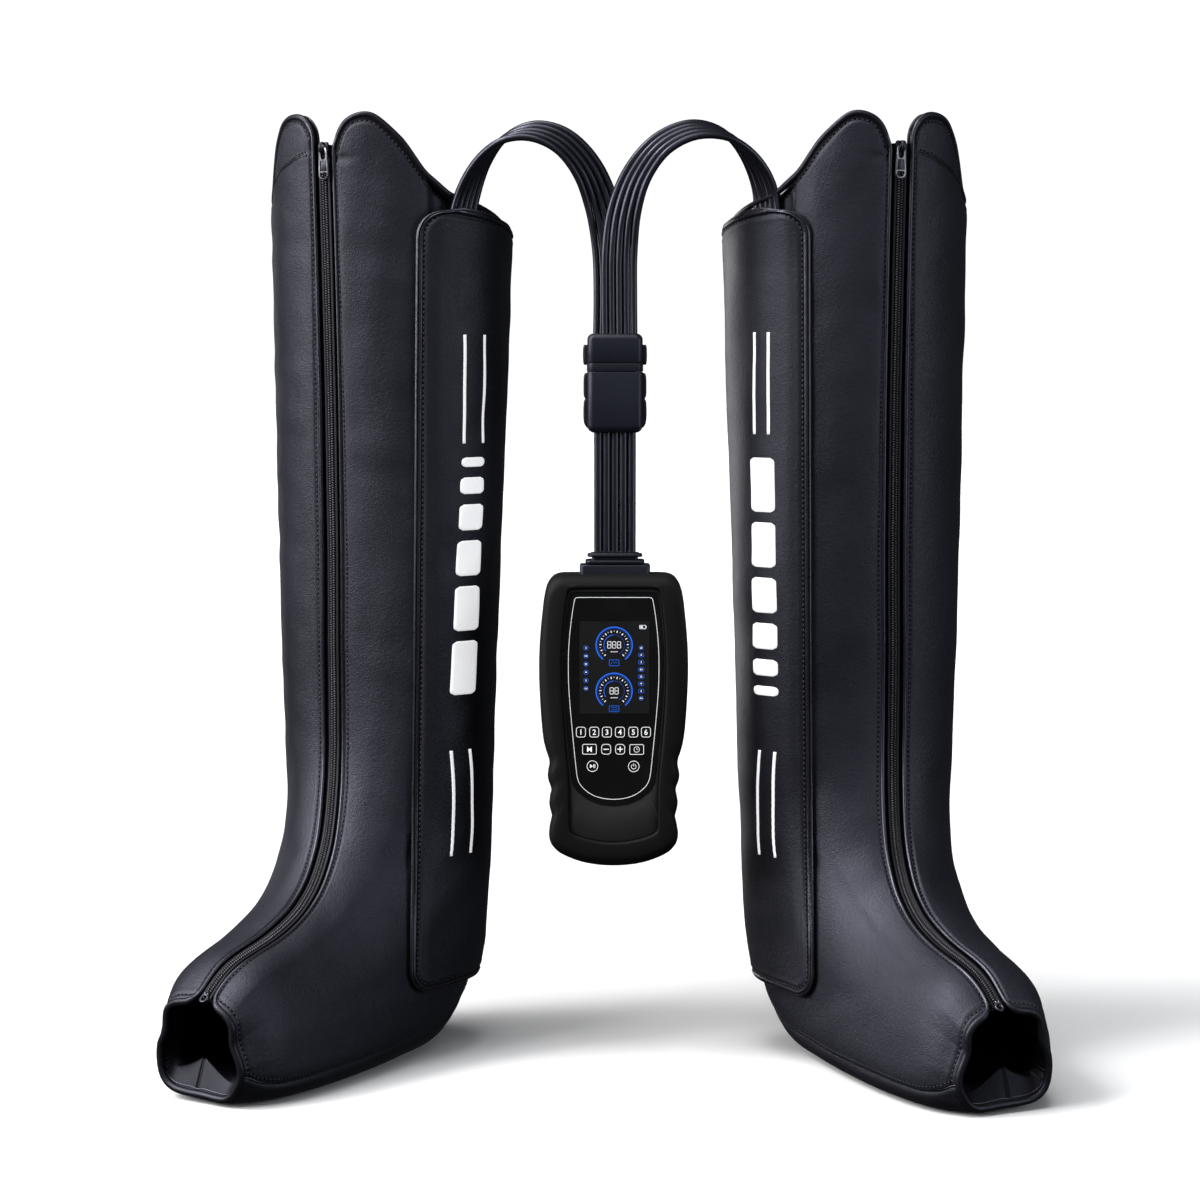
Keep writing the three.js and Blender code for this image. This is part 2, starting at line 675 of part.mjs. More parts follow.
function ribbon(route, across, od, steps) {
  const w = (od * TUBES) / 2,
    h = od / 2;
  const sec = [
    [-w, -h * 0.45], [-w + h * 0.55, -h], [w - h * 0.55, -h], [w, -h * 0.45],
    [w, h * 0.45], [w - h * 0.55, h], [-w + h * 0.55, h], [-w, h * 0.45],
  ];
  const V = (p) => new THREE.Vector3(...p);
  const rings = [];
  for (let i = 0; i <= steps; i++) {
    const t = i / steps;
    const c = V(knots(route, t));
    const T = V(knots(route, Math.min(1, t + 0.004)))
      .sub(V(knots(route, Math.max(0, t - 0.004))))
      .normalize();
    const W = V(knots(across, t));
    W.addScaledVector(T, -W.dot(T)).normalize();
    const N = new THREE.Vector3().crossVectors(T, W).normalize();
    rings.push(
      sec.map(([a, b]) => {
        const q = c.clone().addScaledVector(W, a).addScaledVector(N, b);
        return [q.x + MOVE_X, q.y + MOVE_Y, q.z];
      }),
    );
  }
  return loft(rings);
}
node("left_branch_hoses", ribbon(ROUTE_L, ACROSS_L, BRANCH_OD, 30), "tube");
node("right_branch_hoses", ribbon(ROUTE_R, ACROSS_R, BRANCH_OD, 30), "tube");

// ---------------------------------------------------------------- coupler
const CX = 12.6 + MOVE_X,
  CY = -40 + MOVE_Y;
const COUPLER_TOP = 622.5,
  SEAM_1 = 600.8,
  SEAM_2 = 592.7,
  COUPLER_BOTTOM = 543.3;
// half outlines, x from the middle, z; both halves of the coupler are a body and a thinner side rail
function side(half) {
  return mirrorOutline(half).map(([x, z]) => [CX + x, z]);
}
const flatLoft = (pts, y0, y1, b) => {
  const cx = CX;
  const zs = pts.map((p) => p[1]);
  const cz = (Math.min(...zs) + Math.max(...zs)) / 2;
  return pillow(pts, [
    [CY + y0, b],
    [CY + y0 + 0.35 * b, 0.3 * b],
    [CY + y0 + b, 0],
    [CY + y1 - b, 0],
    [CY + y1 - 0.35 * b, 0.3 * b],
    [CY + y1, b],
  ], [cx, cz]);
};
const socketBody = flatLoft(
  side([[0, 622.5], [-16, 622.5], [-19.5, 621.3], [-21, 617.8], [-21, 610], [-21, 601.0], [0, 601.0]]),
  -13, 13, 1.8,
);
const socketRail = flatLoft(
  side([[0, 622.2], [-17, 622.2], [-21.4, 620.6], [-23.5, 616.5], [-23.7, 610], [-23.7, 601.0], [0, 601.0]]),
  -9.6, 9.6, 1.5,
);
const latchPocket = (sx) =>
  prism(rounded(CX + sx * 24, 607.1, 8.4, 17.8, 0.6, 1), CY - 6.4, CY + 6.4);
const socketCavity = pillar(roundedXY(CX, CY, 35, 16.6, 2), 590, 610.5);
node(
  "coupler_socket",
  cut(union(socketBody, socketRail), socketCavity, latchPocket(1), latchPocket(-1)),
  "shell",
);
const sealBody = union(
  flatLoft(side([[0, 600.7], [-20.6, 600.7], [-20.9, 597], [-20.6, 593.1], [0, 593.1]]), -12.7, 12.7, 0.5),
  flatLoft(side([[0, 600.7], [-24.0, 600.7], [-24.2, 597], [-24.0, 593.1], [0, 593.1]]), -9.3, 9.3, 0.5),
);
node(
  "coupler_seal",
  cut(sealBody, pillar(roundedXY(CX, CY, 35, 16.6, 2), 590, 603), latchPocket(1), latchPocket(-1)),
  "rubber",
);
for (const [nm, sx] of [["left", -1], ["right", 1]])
  node(
    "coupler_latch_" + nm,
    block(CX + sx * 23.9, 607.1, 5.4, 17.0, 0.9, CY - 5.8, CY + 5.8, 0.5, 1),
    "shell",
  );
const plugBody = flatLoft(
  side([[0, 592.6], [-21, 592.6], [-21.2, 585], [-21.2, 566], [-21.2, 551], [-19.8, 546.2], [-15.5, 543.4], [0, 543.4]]),
  -13, 13, 1.8,
);
const plugRail = flatLoft(
  side([
    [0, 592.6], [-24.8, 592.6], [-26.2, 590.6], [-26.5, 586], [-26.5, 575],
    [-26.2, 572], [-24.9, 570.3], [-26.2, 568.4], [-26.7, 564], [-26.7, 554],
    [-26, 549], [-23.4, 545.3], [-18, 543.6], [0, 543.6],
  ]),
  -9.6, 9.6, 1.4,
);
const spigot = pillar(roundedXY(CX, CY, 34, 15.6, 1.8), 590, 606.5);
const nozzles = [];
for (let i = 0; i < TUBES; i++)
  nozzles.push(
    pillar(circle(CX + (i - 2) * 6.2, CY, 1.9, 8), 605.5, 609.3),
  );
node("coupler_plug", union(plugBody, plugRail, spigot, ...nozzles), "shell");

// ---------------------------------------------------------------- main ribbon and its plug
const P_TOP = 440.4; // top of the hose plug
node(
  "main_hoses",
  ribbon(
    [[12.6, -40, 542.9], [12.6, -40, 491.7], [12.6, -40, P_TOP + 0.4]],
    [[1, 0, 0], [1, 0, 0], [1, 0, 0]],
    MAIN_OD,
    2,
  ),
  "tube",
);
const at = (y) => y + MOVE_Y;
const stepBlock = (w, d, r, z0, z1) =>
  pillar(roundedXY(CX, at(-40), w, d, r), z0, z1);
node(
  "hose_plug",
  union(
    stepBlock(41.5, 17, 3, 436.5, 440.2),
    stepBlock(46.5, 22, 3.5, 437.0, 439.0),
    stepBlock(39, 15, 3, 433.5, 437.2),
    stepBlock(50, 24, 3.5, 431.1, 434.1),
    stepBlock(34, 15, 2, 417.5, 431.5),
  ),
  "shell",
);

// ---------------------------------------------------------------- pump
const PX = 11.5 + MOVE_X;
const half = (pts) => mirrorOutline(pts).map(([x, z]) => [PX + x, z]);
const BUMPER = half([
  [0, 422.6], [-45.4, 422.6], [-52.2, 419.4], [-56.2, 413.6], [-58.4, 406.5],
  [-60.4, 389.4], [-62.3, 369.8], [-63.2, 350.1], [-63.1, 330.4],
  [-61.5, 301.2], [-59.6, 281.5], [-56.7, 271.1], [-54.5, 265.1],
  [-54.4, 259.1], [-56.3, 252.2], [-55.1, 246.1], [-52.8, 241.0],
  [-53.1, 235.8], [-55.0, 228.9], [-53.9, 222.8], [-51.9, 215.9],
  [-53.2, 210.7], [-55.0, 204.7], [-54.9, 196.9], [-52.2, 190.8],
  [-45.4, 184.2], [-28.4, 177.3], [-14.1, 174.7], [0, 173.9],
]);
const HOUSING = half([
  [0, 414.6], [-40, 414.6], [-47.5, 411], [-51, 402], [-53.6, 382],
  [-55, 358], [-55, 336], [-53.6, 310], [-51, 285], [-47.6, 262],
  [-45.6, 240], [-45, 215], [-44.2, 201], [-40, 192], [-28, 185.6],
  [-14, 182.8], [0, 182.2],
]);
const OPENING = half([
  [0, 411.1], [-38.5, 411.1], [-41.2, 393.3], [-43.5, 372.2], [-44.4, 351.1],
  [-44.1, 325.6], [-42.6, 300.1], [-41.0, 278.8], [-39.6, 265.2],
  [-37.7, 245.6], [-37.8, 204.7], [-24.1, 199.0], [-11.4, 196.2], [0, 195.5],
]);
const PANEL = half([
  [0, 408.0], [-36.6, 408.0], [-40.0, 384.8], [-42.2, 359.4], [-42.2, 334.0],
  [-40.9, 312.7], [-38.9, 287.2], [-36.8, 264.2], [-35.1, 248.0],
  [-31.7, 240.3], [-22.4, 232.6], [-11.4, 228.1], [0, 226.8],
]);
const MID = [PX, 300];
const grown = (pts, d) =>
  pts.map(([x, z]) => {
    const r = Math.hypot(x - MID[0], z - MID[1]);
    return [MID[0] + (x - MID[0]) * (1 + d / r), MID[1] + (z - MID[1]) * (1 + d / r)];
  });
const bumperOuter = pillow(BUMPER, [
  [at(-66.0), 10.5], [at(-65.2), 6.5], [at(-62.5), 2.6], [at(-57), 0],
  [at(-24), 0], [at(-18.5), 2.4], [at(-15.4), 7.0],
], MID);
const housingRoom = pillow(grown(HOUSING, 0.4), [
  [at(-61.9), 2.2], [at(-59.5), 0], [at(-20.6), 0], [at(-17.6), 2.2],
], MID);
const frontHole = prism(grown(OPENING, 0), at(-70), at(-60));
const backHole = prism(grown(HOUSING, -5), at(-19), at(-10));
const socketSlot = prism(rounded(CX, 424, 60.6, 26, 1, 1), at(-52.4), at(-27.6));
const portSlot = prism(rounded(PX, 178, 15.6, 24, 1, 1), at(-44.2), at(-33.8));
node(
  "pump_bumper",
  cut(bumperOuter, housingRoom, frontHole, backHole, socketSlot, portSlot),
  "rubber",
);

// front half of the housing: a shell with a raised deck that shows in the bumper's opening
const KEYS = [
  ["1", -27.6, 289.8, 9.4, 9.4, 2.4], ["2", -16.4, 289.8, 9.4, 9.4, 2.4],
  ["3", -5.7, 289.8, 9.4, 9.4, 2.4], ["4", 5.3, 289.8, 9.4, 9.4, 2.4],
  ["5", 16.6, 289.8, 9.4, 9.4, 2.4], ["6", 27.3, 289.8, 9.4, 9.4, 2.4],
  ["mode", -20.4, 275.2, 13.4, 9.4, 1.6], ["minus", -6.3, 275.2, 9.4, 9.4, 3.0],
  ["plus", 5.5, 275.2, 9.4, 9.4, 3.0], ["timer", 19.5, 275.0, 13.4, 9.4, 1.6],
  ["play", -17.9, 260.8, 10.2, 10.2, 5.0], ["power", 17.0, 260.6, 10.2, 10.2, 5.0],
];
const SCREEN = [0.6, 344.7, 59.9, 79.5];
const deck = prism(grown(OPENING, -0.4), at(-63.2), at(-60.6));
const frontShell = pillow(HOUSING, [
  [at(-61.4), 2.6], [at(-59), 0], [at(-38.3), 0],
], MID);
const frontRoom = pillow(grown(HOUSING, -2.6), [
  [at(-57.2), 0.6], [at(-38), 0],
], MID);
const panelSeat = prism(grown(PANEL, 0.35), at(-65), at(-60.9));
const keyWindow = prism(rounded(PX - 0.2, 275.2, 71, 45, 2, 1), at(-62), at(-56));
const screenWindow = prism(rounded(PX + SCREEN[0], SCREEN[1], 61.2, 80.8, 1, 1), at(-62), at(-56));
const frontSocketSlot = prism(rounded(CX, 424, 60.6, 26, 1, 1), at(-52.4), at(-27.6));
const frontPortSlot = prism(rounded(PX, 184, 15.6, 16, 1, 1), at(-44.2), at(-33.8));
node(
  "pump_front_housing",
  cut(
    union(deck, frontShell),
    frontRoom, panelSeat, keyWindow, screenWindow, frontSocketSlot, frontPortSlot,
  ),
  "housing",
);
const rearShell = pillow(HOUSING, [
  [at(-37.9), 0], [at(-20.9), 0], [at(-18.1), 2.4], [at(-18.1), 5.5], [at(-14.6), 6.5],
], MID);
const rearRoom = pillow(grown(HOUSING, -2.6), [
  [at(-38.2), 0], [at(-22), 0], [at(-18.2), 5],
], MID);
const SCREWS = [[-30, 398], [30, 398], [-27, 203], [27, 203]];
const bores = SCREWS.map(([x, z]) =>
  prism(circle(PX + x, z, 3.7, 12), at(-16.6), at(-12)),
);
node(
  "pump_rear_housing",
  cut(rearShell, rearRoom, socketSlot, frontPortSlot, ...bores),
  "housing",
);
SCREWS.forEach(([x, z], i) => {
  const head = prism(circle(PX + x, z, 3.3, 12), at(-16.3), at(-14.9));
  const drive = prism(circle(PX + x, z, 1.3, 6), at(-15.7), at(-14));
  node("pump_screw_" + (i + 1), cut(head, drive), "steel");
});
node(
  "pump_front_panel",
  cut(
    prism(PANEL, at(-63.6), at(-61.2)),
    prism(rounded(PX + SCREEN[0], SCREEN[1], 59.9, 79.5, 0.6, 1), at(-65), at(-60)),
    ...KEYS.map(([, x, z, w, h, r]) =>
      prism(rounded(PX + x, z, w + 0.7, h + 0.7, r + 0.35), at(-65), at(-60)),
    ),
  ),
  "glass",
);
node(
  "pump_display",
  union(
    prism(rounded(PX + SCREEN[0], SCREEN[1], 59.2, 78.8, 0.4, 1), at(-63.5), at(-58)),
    prism(rounded(PX + SCREEN[0], SCREEN[1], 57, 76, 0.4, 1), at(-58.5), at(-53.5)),
  ),
  "glass",
);
for (const [nm, x, z, w, h, r] of KEYS)
  node(
    "key_" + nm,
    union(
      prism(rounded(PX + x, z, w, h, r), at(-63.9), at(-60.5)),
      prism(rounded(PX + x, z, w + (nm === "play" || nm === "power" ? 2 : 1.1), h + 1.6, r), at(-60.8), at(-60.2)),
    ),
    "glass",
  );
node(
  "key_membrane",
  prism(rounded(PX - 0.2, 275.2, 68, 42, 2, 1), at(-59.0), at(-57.5)),
  "rubber",
);
node(
  "control_board",
  union(
    prism(rounded(PX, 318, 78, 156, 3, 1), at(-52.6), at(-51)),
    prism(rounded(PX + 14, 345, 16, 16, 0.5, 1), at(-51.2), at(-49.4)),
    prism(rounded(PX - 20, 300, 10, 22, 0.5, 1), at(-51.2), at(-48.6)),
    prism(rounded(PX + 22, 268, 24, 8, 0.5, 1), at(-51.2), at(-47.0)),
  ),
  "board",
);
node(
  "battery_pack",
  union(
    rodX(PX - 33, PX + 33, at(-34), 221.6, 9.4, 18),
    rodX(PX - 33, PX + 33, at(-34), 240.0, 9.4, 18),
  ),
  "cell",
);
const AY = at(-34.4); // axis of the air pump motor
node(
  "air_pump_motor",
  union(
    pillar(circle(PX, AY, 10.8, 20), 264, 298),
    pillar(circle(PX, AY, 4.2, 12), 297.5, 299.6),
    pillar(circle(PX, AY, 1.2, 8), 299, 304.5),
  ),
  "steel",
);
node(
  "air_pump_eccentric",
  cut(
    union(
      pillar(circle(PX, AY, 8, 20), 300.4, 306.4),
      pillar(circle(PX + 3.6, AY, 1.4, 10), 306, 310.6),
    ),
    pillar(circle(PX, AY, 1.6, 10), 300, 305.2),
  ),
  "shell",
);
node(
  "air_pump_head",
  cut(
    union(
      pillar(roundedXY(PX, AY, 44, 21, 3), 308.0, 338),
      pillar(circle(PX - 11, AY, 3, 10), 337.5, 346),
      pillar(circle(PX + 11, AY, 3, 10), 337.5, 346),
    ),
    pillar(circle(PX, AY, 6, 16), 307, 312.5),
  ),
  "shell",
);
node(
  "valve_block",
  union(
    pillar(roundedXY(PX, AY, 66, 21, 2), 350, 388),
    ...[0, 1, 2, 3, 4].map((i) =>
      pillar(circle(PX + (i - 2) * 12.4, AY, 4.6, 12), 387.5, 399),
    ),
  ),
  "shell",
);
node(
  "pump_socket",
  cut(
    union(
      pillar(roundedXY(CX, CY, 59.8, 24.0, 3), 403.5, 430.6),
    ),
    pillar(roundedXY(CX, CY, 35, 16, 2), 416.8, 434),
  ),
  "shell",
);
node(
  "charge_port",
  cut(
    prism(rounded(PX, 187, 15.0, 22, 0.8, 1), at(-43.9), at(-34.1)),
    prism(rounded(PX, 178, 9.2, 14, 0.4, 1), at(-41.5), at(-36.5)),
  ),
  "shell",
);
export default root;
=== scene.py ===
# Looks of the leg air compression set: boots, hoses, coupler and hand-held pump.
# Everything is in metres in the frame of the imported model; the tables below are in millimetres.
import math

import bmesh
import bpy
import numpy as np
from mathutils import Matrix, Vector
from mathutils.kdtree import KDTree


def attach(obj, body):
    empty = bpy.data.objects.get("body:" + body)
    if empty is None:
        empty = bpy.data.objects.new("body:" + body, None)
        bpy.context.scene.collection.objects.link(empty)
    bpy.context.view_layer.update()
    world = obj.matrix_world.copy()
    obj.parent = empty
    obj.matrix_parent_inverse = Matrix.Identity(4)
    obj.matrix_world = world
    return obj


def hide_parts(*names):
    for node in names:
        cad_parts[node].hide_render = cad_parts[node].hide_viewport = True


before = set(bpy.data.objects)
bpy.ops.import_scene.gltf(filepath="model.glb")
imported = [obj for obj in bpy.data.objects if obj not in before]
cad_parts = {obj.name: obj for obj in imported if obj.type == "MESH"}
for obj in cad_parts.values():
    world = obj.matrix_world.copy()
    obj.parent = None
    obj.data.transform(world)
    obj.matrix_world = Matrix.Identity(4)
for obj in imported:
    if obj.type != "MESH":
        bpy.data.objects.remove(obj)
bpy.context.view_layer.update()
SCENE = bpy.context.scene
MOVE = np.array([-1.43, 33.55, 0.0])
RAD = math.pi / 180

# ------------------------------------------------------------------ camera
cam_data = bpy.data.cameras.new("camera")
cam_data.sensor_width = 36.0
cam_data.lens = 2790.0 / 1200.0 * 36.0
cam = bpy.data.objects.new("camera", cam_data)
cam.location = ((0 + MOVE[0]) / 1000, (-2400 + MOVE[1]) / 1000, 0.6105)
cam.rotation_euler = (math.radians(90 - 5.1055), 0, 0)
cam_data.clip_end = 50
SCENE.collection.objects.link(cam)
SCENE.camera = cam


# ------------------------------------------------------------------ node material helpers
def new_mat(name):
    m = bpy.data.materials.new(name)
    m.use_nodes = True
    nt = m.node_tree
    nt.nodes.clear()
    out = nt.nodes.new("ShaderNodeOutputMaterial")
    b = nt.nodes.new("ShaderNodeBsdfPrincipled")
    nt.links.new(b.outputs[0], out.inputs[0])
    co = nt.nodes.new("ShaderNodeTexCoord")
    return m, nt, b, co.outputs["Object"]


def mapping(nt, co, scale, rot=(0, 0, 0)):
    mp = nt.nodes.new("ShaderNodeMapping")
    mp.inputs["Scale"].default_value = scale
    mp.inputs["Rotation"].default_value = rot
    nt.links.new(co, mp.inputs["Vector"])
    return mp.outputs[0]


def noise(nt, co, scale, detail=2.0, rough=0.5):
    n = nt.nodes.new("ShaderNodeTexNoise")
    n.inputs["Scale"].default_value = scale
    n.inputs["Detail"].default_value = detail
    n.inputs["Roughness"].default_value = rough
    nt.links.new(co, n.inputs["Vector"])
    return n.outputs["Fac"]


def voronoi(nt, co, scale, feature="DISTANCE_TO_EDGE"):
    n = nt.nodes.new("ShaderNodeTexVoronoi")
    n.feature = feature
    n.inputs["Scale"].default_value = scale
    nt.links.new(co, n.inputs["Vector"])
    return n.outputs["Distance"]


def ramp(nt, fac, stops):
    r = nt.nodes.new("ShaderNodeValToRGB")
    e = r.color_ramp.elements
    e[0].position, e[0].color = stops[0][0], (*stops[0][1], 1)
    e[1].position, e[1].color = stops[-1][0], (*stops[-1][1], 1)
    for p, c in stops[1:-1]:
        x = e.new(p)
        x.color = (*c, 1)
    nt.links.new(fac, r.inputs[0])
    return r.outputs[0]


def mrange(nt, v, a, b, c, d):
    n = nt.nodes.new("ShaderNodeMapRange")
    for k, x in zip(("From Min", "From Max", "To Min", "To Max"), (a, b, c, d)):
        n.inputs[k].default_value = x
    nt.links.new(v, n.inputs["Value"])
    return n.outputs[0]


def math_node(nt, op, a, b=None):
    n = nt.nodes.new("ShaderNodeMath")
    n.operation = op
    for i, x in enumerate((a, b)):
        if x is None:
            continue
        if isinstance(x, (int, float)):
            n.inputs[i].default_value = x
        else:
            nt.links.new(x, n.inputs[i])
    return n.outputs[0]


def bump(nt, bsdf, layers):
    """layers: (height, strength, distance in metres)"""
    last = None
    for h, s, d in layers:
        n = nt.nodes.new("ShaderNodeBump")
        n.inputs["Strength"].default_value = s
        n.inputs["Distance"].default_value = d
        nt.links.new(h, n.inputs["Height"])
        if last is not None:
            nt.links.new(last, n.inputs["Normal"])
        last = n.outputs[0]
    nt.links.new(last, bsdf.inputs["Normal"])


def leather(name, dark, light, rough=0.5, grain=1.0, sheen=0.0, spec=0.5):
    m, nt, b, co = new_mat(name)
    big = noise(nt, co, 9, 3, 0.55)
    fine = noise(nt, co, 850, 2, 0.6)
    b_col = ramp(nt, big, [(0.3, dark), (0.7, light)])
    mix = nt.nodes.new("ShaderNodeMix")
    mix.data_type = "RGBA"
    mix.blend_type = "MULTIPLY"
    nt.links.new(b_col, mix.inputs["A"])
    nt.links.new(
        ramp(nt, fine, [(0.3, (0.50, 0.50, 0.53)), (0.7, (1.0, 1.0, 1.0))]),
        mix.inputs["B"],
    )
    mix.inputs["Factor"].default_value = 1.0
    nt.links.new(mix.outputs["Result"], b.inputs["Base Color"])
    r = math_node(
        nt,
        "ADD",
        mrange(nt, big, 0.3, 0.7, rough - 0.05, rough + 0.04),
        mrange(nt, fine, 0.3, 0.7, -0.04, 0.06),
    )
    nt.links.new(r, b.inputs["Roughness"])
    b.inputs["Specular IOR Level"].default_value = spec
    b.inputs["Specular Tint"].default_value = (0.80, 0.80, 1.0, 1)
    if sheen:
        b.inputs["Sheen Weight"].default_value = sheen
        b.inputs["Sheen Roughness"].default_value = 0.5
        b.inputs["Sheen Tint"].default_value = (0.75, 0.78, 0.95, 1)
    cells = voronoi(nt, co, 560)
    pebble = noise(nt, co, 330, 2, 0.6)
    folds = noise(nt, co, 42, 3, 0.55)
    bump(
        nt,
        b,
        [
            (folds, 0.10, 0.004),
            (pebble, 0.34 * grain, 0.0008),
            (cells, 0.50 * grain, 0.0006),
            (fine, 0.45 * grain, 0.0004),
        ],
    )
    return m


def plain(name, colour, rough, metal=0.0, spec=0.5, grain=0.15, scale=1400, coat=0.0, vary=0.12, cool=False):
    m, nt, b, co = new_mat(name)
    if cool:
        b.inputs["Specular Tint"].default_value = (0.78, 0.80, 1.0, 1)
    n = noise(nt, co, 30, 3, 0.55)
    c2 = tuple(x * (1 - vary) for x in colour)
    c3 = tuple(min(1, x * (1 + vary)) for x in colour)
    nt.links.new(ramp(nt, n, [(0.3, c2), (0.7, c3)]), b.inputs["Base Color"])
    nt.links.new(mrange(nt, n, 0.3, 0.7, rough - 0.03, rough + 0.04), b.inputs["Roughness"])
    b.inputs["Metallic"].default_value = metal
    b.inputs["Specular IOR Level"].default_value = spec
    if coat:
        b.inputs["Coat Weight"].default_value = coat
        b.inputs["Coat Roughness"].default_value = 0.08
    if grain:
        g = noise(nt, co, scale, 2, 0.6)
        bump(nt, b, [(g, grain, 0.00025)])
    return m


def woven(name, colour, rough=0.8, pitch=0.0009):
    m, nt, b, co = new_mat(name)
    w1 = nt.nodes.new("ShaderNodeTexWave")
    w1.inputs["Scale"].default_value = 1 / pitch / 6.28
    nt.links.new(mapping(nt, co, (1, 1, 0.2)), w1.inputs["Vector"])
    w2 = nt.nodes.new("ShaderNodeTexWave")
    w2.bands_direction = "Z"
    w2.inputs["Scale"].default_value = 1 / pitch / 6.28
    nt.links.new(co, w2.inputs["Vector"])
    h = math_node(nt, "MULTIPLY", w1.outputs["Fac"], w2.outputs["Fac"])
    nt.links.new(
        ramp(nt, h, [(0.0, tuple(x * 0.6 for x in colour)), (1.0, colour)]),
        b.inputs["Base Color"],
    )
    b.inputs["Roughness"].default_value = rough
    bump(nt, b, [(h, 0.5, 0.0003)])
    return m


# emissive colour: real light for the display segments, a painted highlight for the trim, the flap print and the key
# legends
def glow(name, colour, strength):
    m, nt, b, co = new_mat(name)
    n = noise(nt, co, 900, 1, 0.5)
    c2 = tuple(x * 0.85 for x in colour)
    nt.links.new(ramp(nt, n, [(0.3, c2), (0.7, colour)]), b.inputs["Base Color"])
    nt.links.new(ramp(nt, n, [(0.3, c2), (0.7, colour)]), b.inputs["Emission Color"])
    b.inputs["Emission Strength"].default_value = strength
    b.inputs["Roughness"].default_value = 0.4
    return m


MAT = {
    "leather": leather("boot_leather", (0.0075, 0.0080, 0.0120), (0.0120, 0.0126, 0.0175), 0.49, 1.0, 0.0, 0.5),
    "flap": leather("flap_leather", (0.0065, 0.0070, 0.0095), (0.0095, 0.0102, 0.0135), 0.50, 0.8, 0.0, 0.45),
    # near-black band of leather: painted shade in the recessed strips beside the rim roll and the flap binding
    "strip": leather("edge_strip_painted_shade", (0.0020, 0.0021, 0.0028), (0.0032, 0.0034, 0.0044), 0.60, 0.5, 0.0, 0.18),
    "binding": leather("binding_leather", (0.009, 0.0095, 0.012), (0.013, 0.0135, 0.017), 0.30, 0.25, 0.0, 0.75),
    "binding_dull": leather("binding_leather_matt", (0.006, 0.0063, 0.0085), (0.009, 0.0093, 0.0120), 0.40, 0.4, 0.0, 0.42),
    "sole": leather("sole_leather", (0.007, 0.0075, 0.010), (0.010, 0.0105, 0.014), 0.5, 0.9, 0.0, 0.4),
    "liner": leather("liner_fabric", (0.0022, 0.0023, 0.0032), (0.0034, 0.0036, 0.0048), 0.42, 0.3, 0.0, 0.17),
    "bladder": leather("bladder_film", (0.006, 0.006, 0.007), (0.009, 0.009, 0.011), 0.45, 0.4, 0.0, 0.4),
    "thread": plain("thread", (0.026, 0.026, 0.033), 0.5, spec=0.5),
    # near-black: painted shade in needle holes, grooves, the lobe's shadow line and the zip's gaps
    "hole": plain("painted_shade_black", (0.0006, 0.0006, 0.0008), 0.9, spec=0.05, grain=0.1),
    "tape": woven("zip_tape", (0.0034, 0.0034, 0.0040)),
    # a lighter copy of the tape for its raised bands: painted sheen
    "rib": plain("zip_tape_rib_painted_sheen", (0.0088, 0.0086, 0.0108), 0.5, spec=0.24, grain=0.3, cool=True),
    "coil": plain("zip_coil", (0.105, 0.100, 0.112), 0.34, spec=0.7, cool=True),
    "gunmetal": plain("zip_metal", (0.034, 0.035, 0.043), 0.36, metal=0.8, grain=0.05),
    "bright": plain("zip_metal_edge", (0.16, 0.16, 0.175), 0.28, metal=0.95, grain=0.05),
    "hose": plain("hose", (0.0065, 0.0066, 0.0100), 0.30, spec=0.62, grain=0.0, cool=True),
    "plastic": plain("coupler_plastic", (0.0070, 0.0078, 0.0128), 0.38, spec=0.42, grain=0.35, cool=True),
    # darker copy of the coupler plastic for its sides: painted shade
    "side_plastic_painted_shade": plain("coupler_side_painted_shade", (0.0030, 0.0031, 0.0038), 0.5, spec=0.25, grain=0.2),
    "rubber": plain("bumper_rubber", (0.0026, 0.0026, 0.0028), 0.66, spec=0.2, grain=0.25),
    "seal": plain("seal_rubber", (0.0075, 0.0082, 0.0124), 0.46, spec=0.35, cool=True),
    "deck": plain("housing_plastic", (0.0170, 0.0170, 0.0172), 0.6, spec=0.22, grain=0.2),
    "housing": plain("housing_back", (0.010, 0.010, 0.010), 0.55, spec=0.4, grain=0.3),
    "panel": plain("panel_gloss", (0.0052, 0.0052, 0.0056), 0.22, spec=0.35, grain=0.0),
    "screen": plain("display", (0.0125, 0.0125, 0.0130), 0.34, spec=0.2, grain=0.0),
    "key": plain("key_plastic", (0.0045, 0.0045, 0.0048), 0.3, spec=0.35, grain=0.0),
    # silver print that glows: painted highlight
    "trim": glow("silver_trim_painted_highlight", (0.78, 0.79, 0.80), 0.5),
    # real white print; its glow is a painted highlight
    "print": glow("white_print_and_painted_highlight", (0.80, 0.80, 0.81), 0.75),
    # real white legends; their glow is a painted highlight
    "legend": glow("key_legend_and_painted_highlight", (0.80, 0.80, 0.80), 0.7),
    "blue": glow("screen_blue", (0.012, 0.105, 0.60), 0.95),
    "blue_dim": glow("screen_blue_dim", (0.010, 0.050, 0.30), 0.9),
    "white": glow("screen_white", (0.80, 0.82, 0.86), 0.7),
    "board": plain("circuit_board", (0.02, 0.09, 0.035), 0.5),
    "cell": plain("battery_wrap", (0.03, 0.11, 0.35), 0.4),
    "steel": plain("steel", (0.45, 0.46, 0.48), 0.3, metal=1.0),
}


# ------------------------------------------------------------------ mesh helpers
def link(me, name, mat, smooth=True):
    o = bpy.data.objects.new(name, me)
    SCENE.collection.objects.link(o)
    me.materials.append(MAT[mat] if isinstance(mat, str) else mat)
    if smooth:
        me.polygons.foreach_set("use_smooth", [True] * len(me.polygons))
    me.update()
    return o


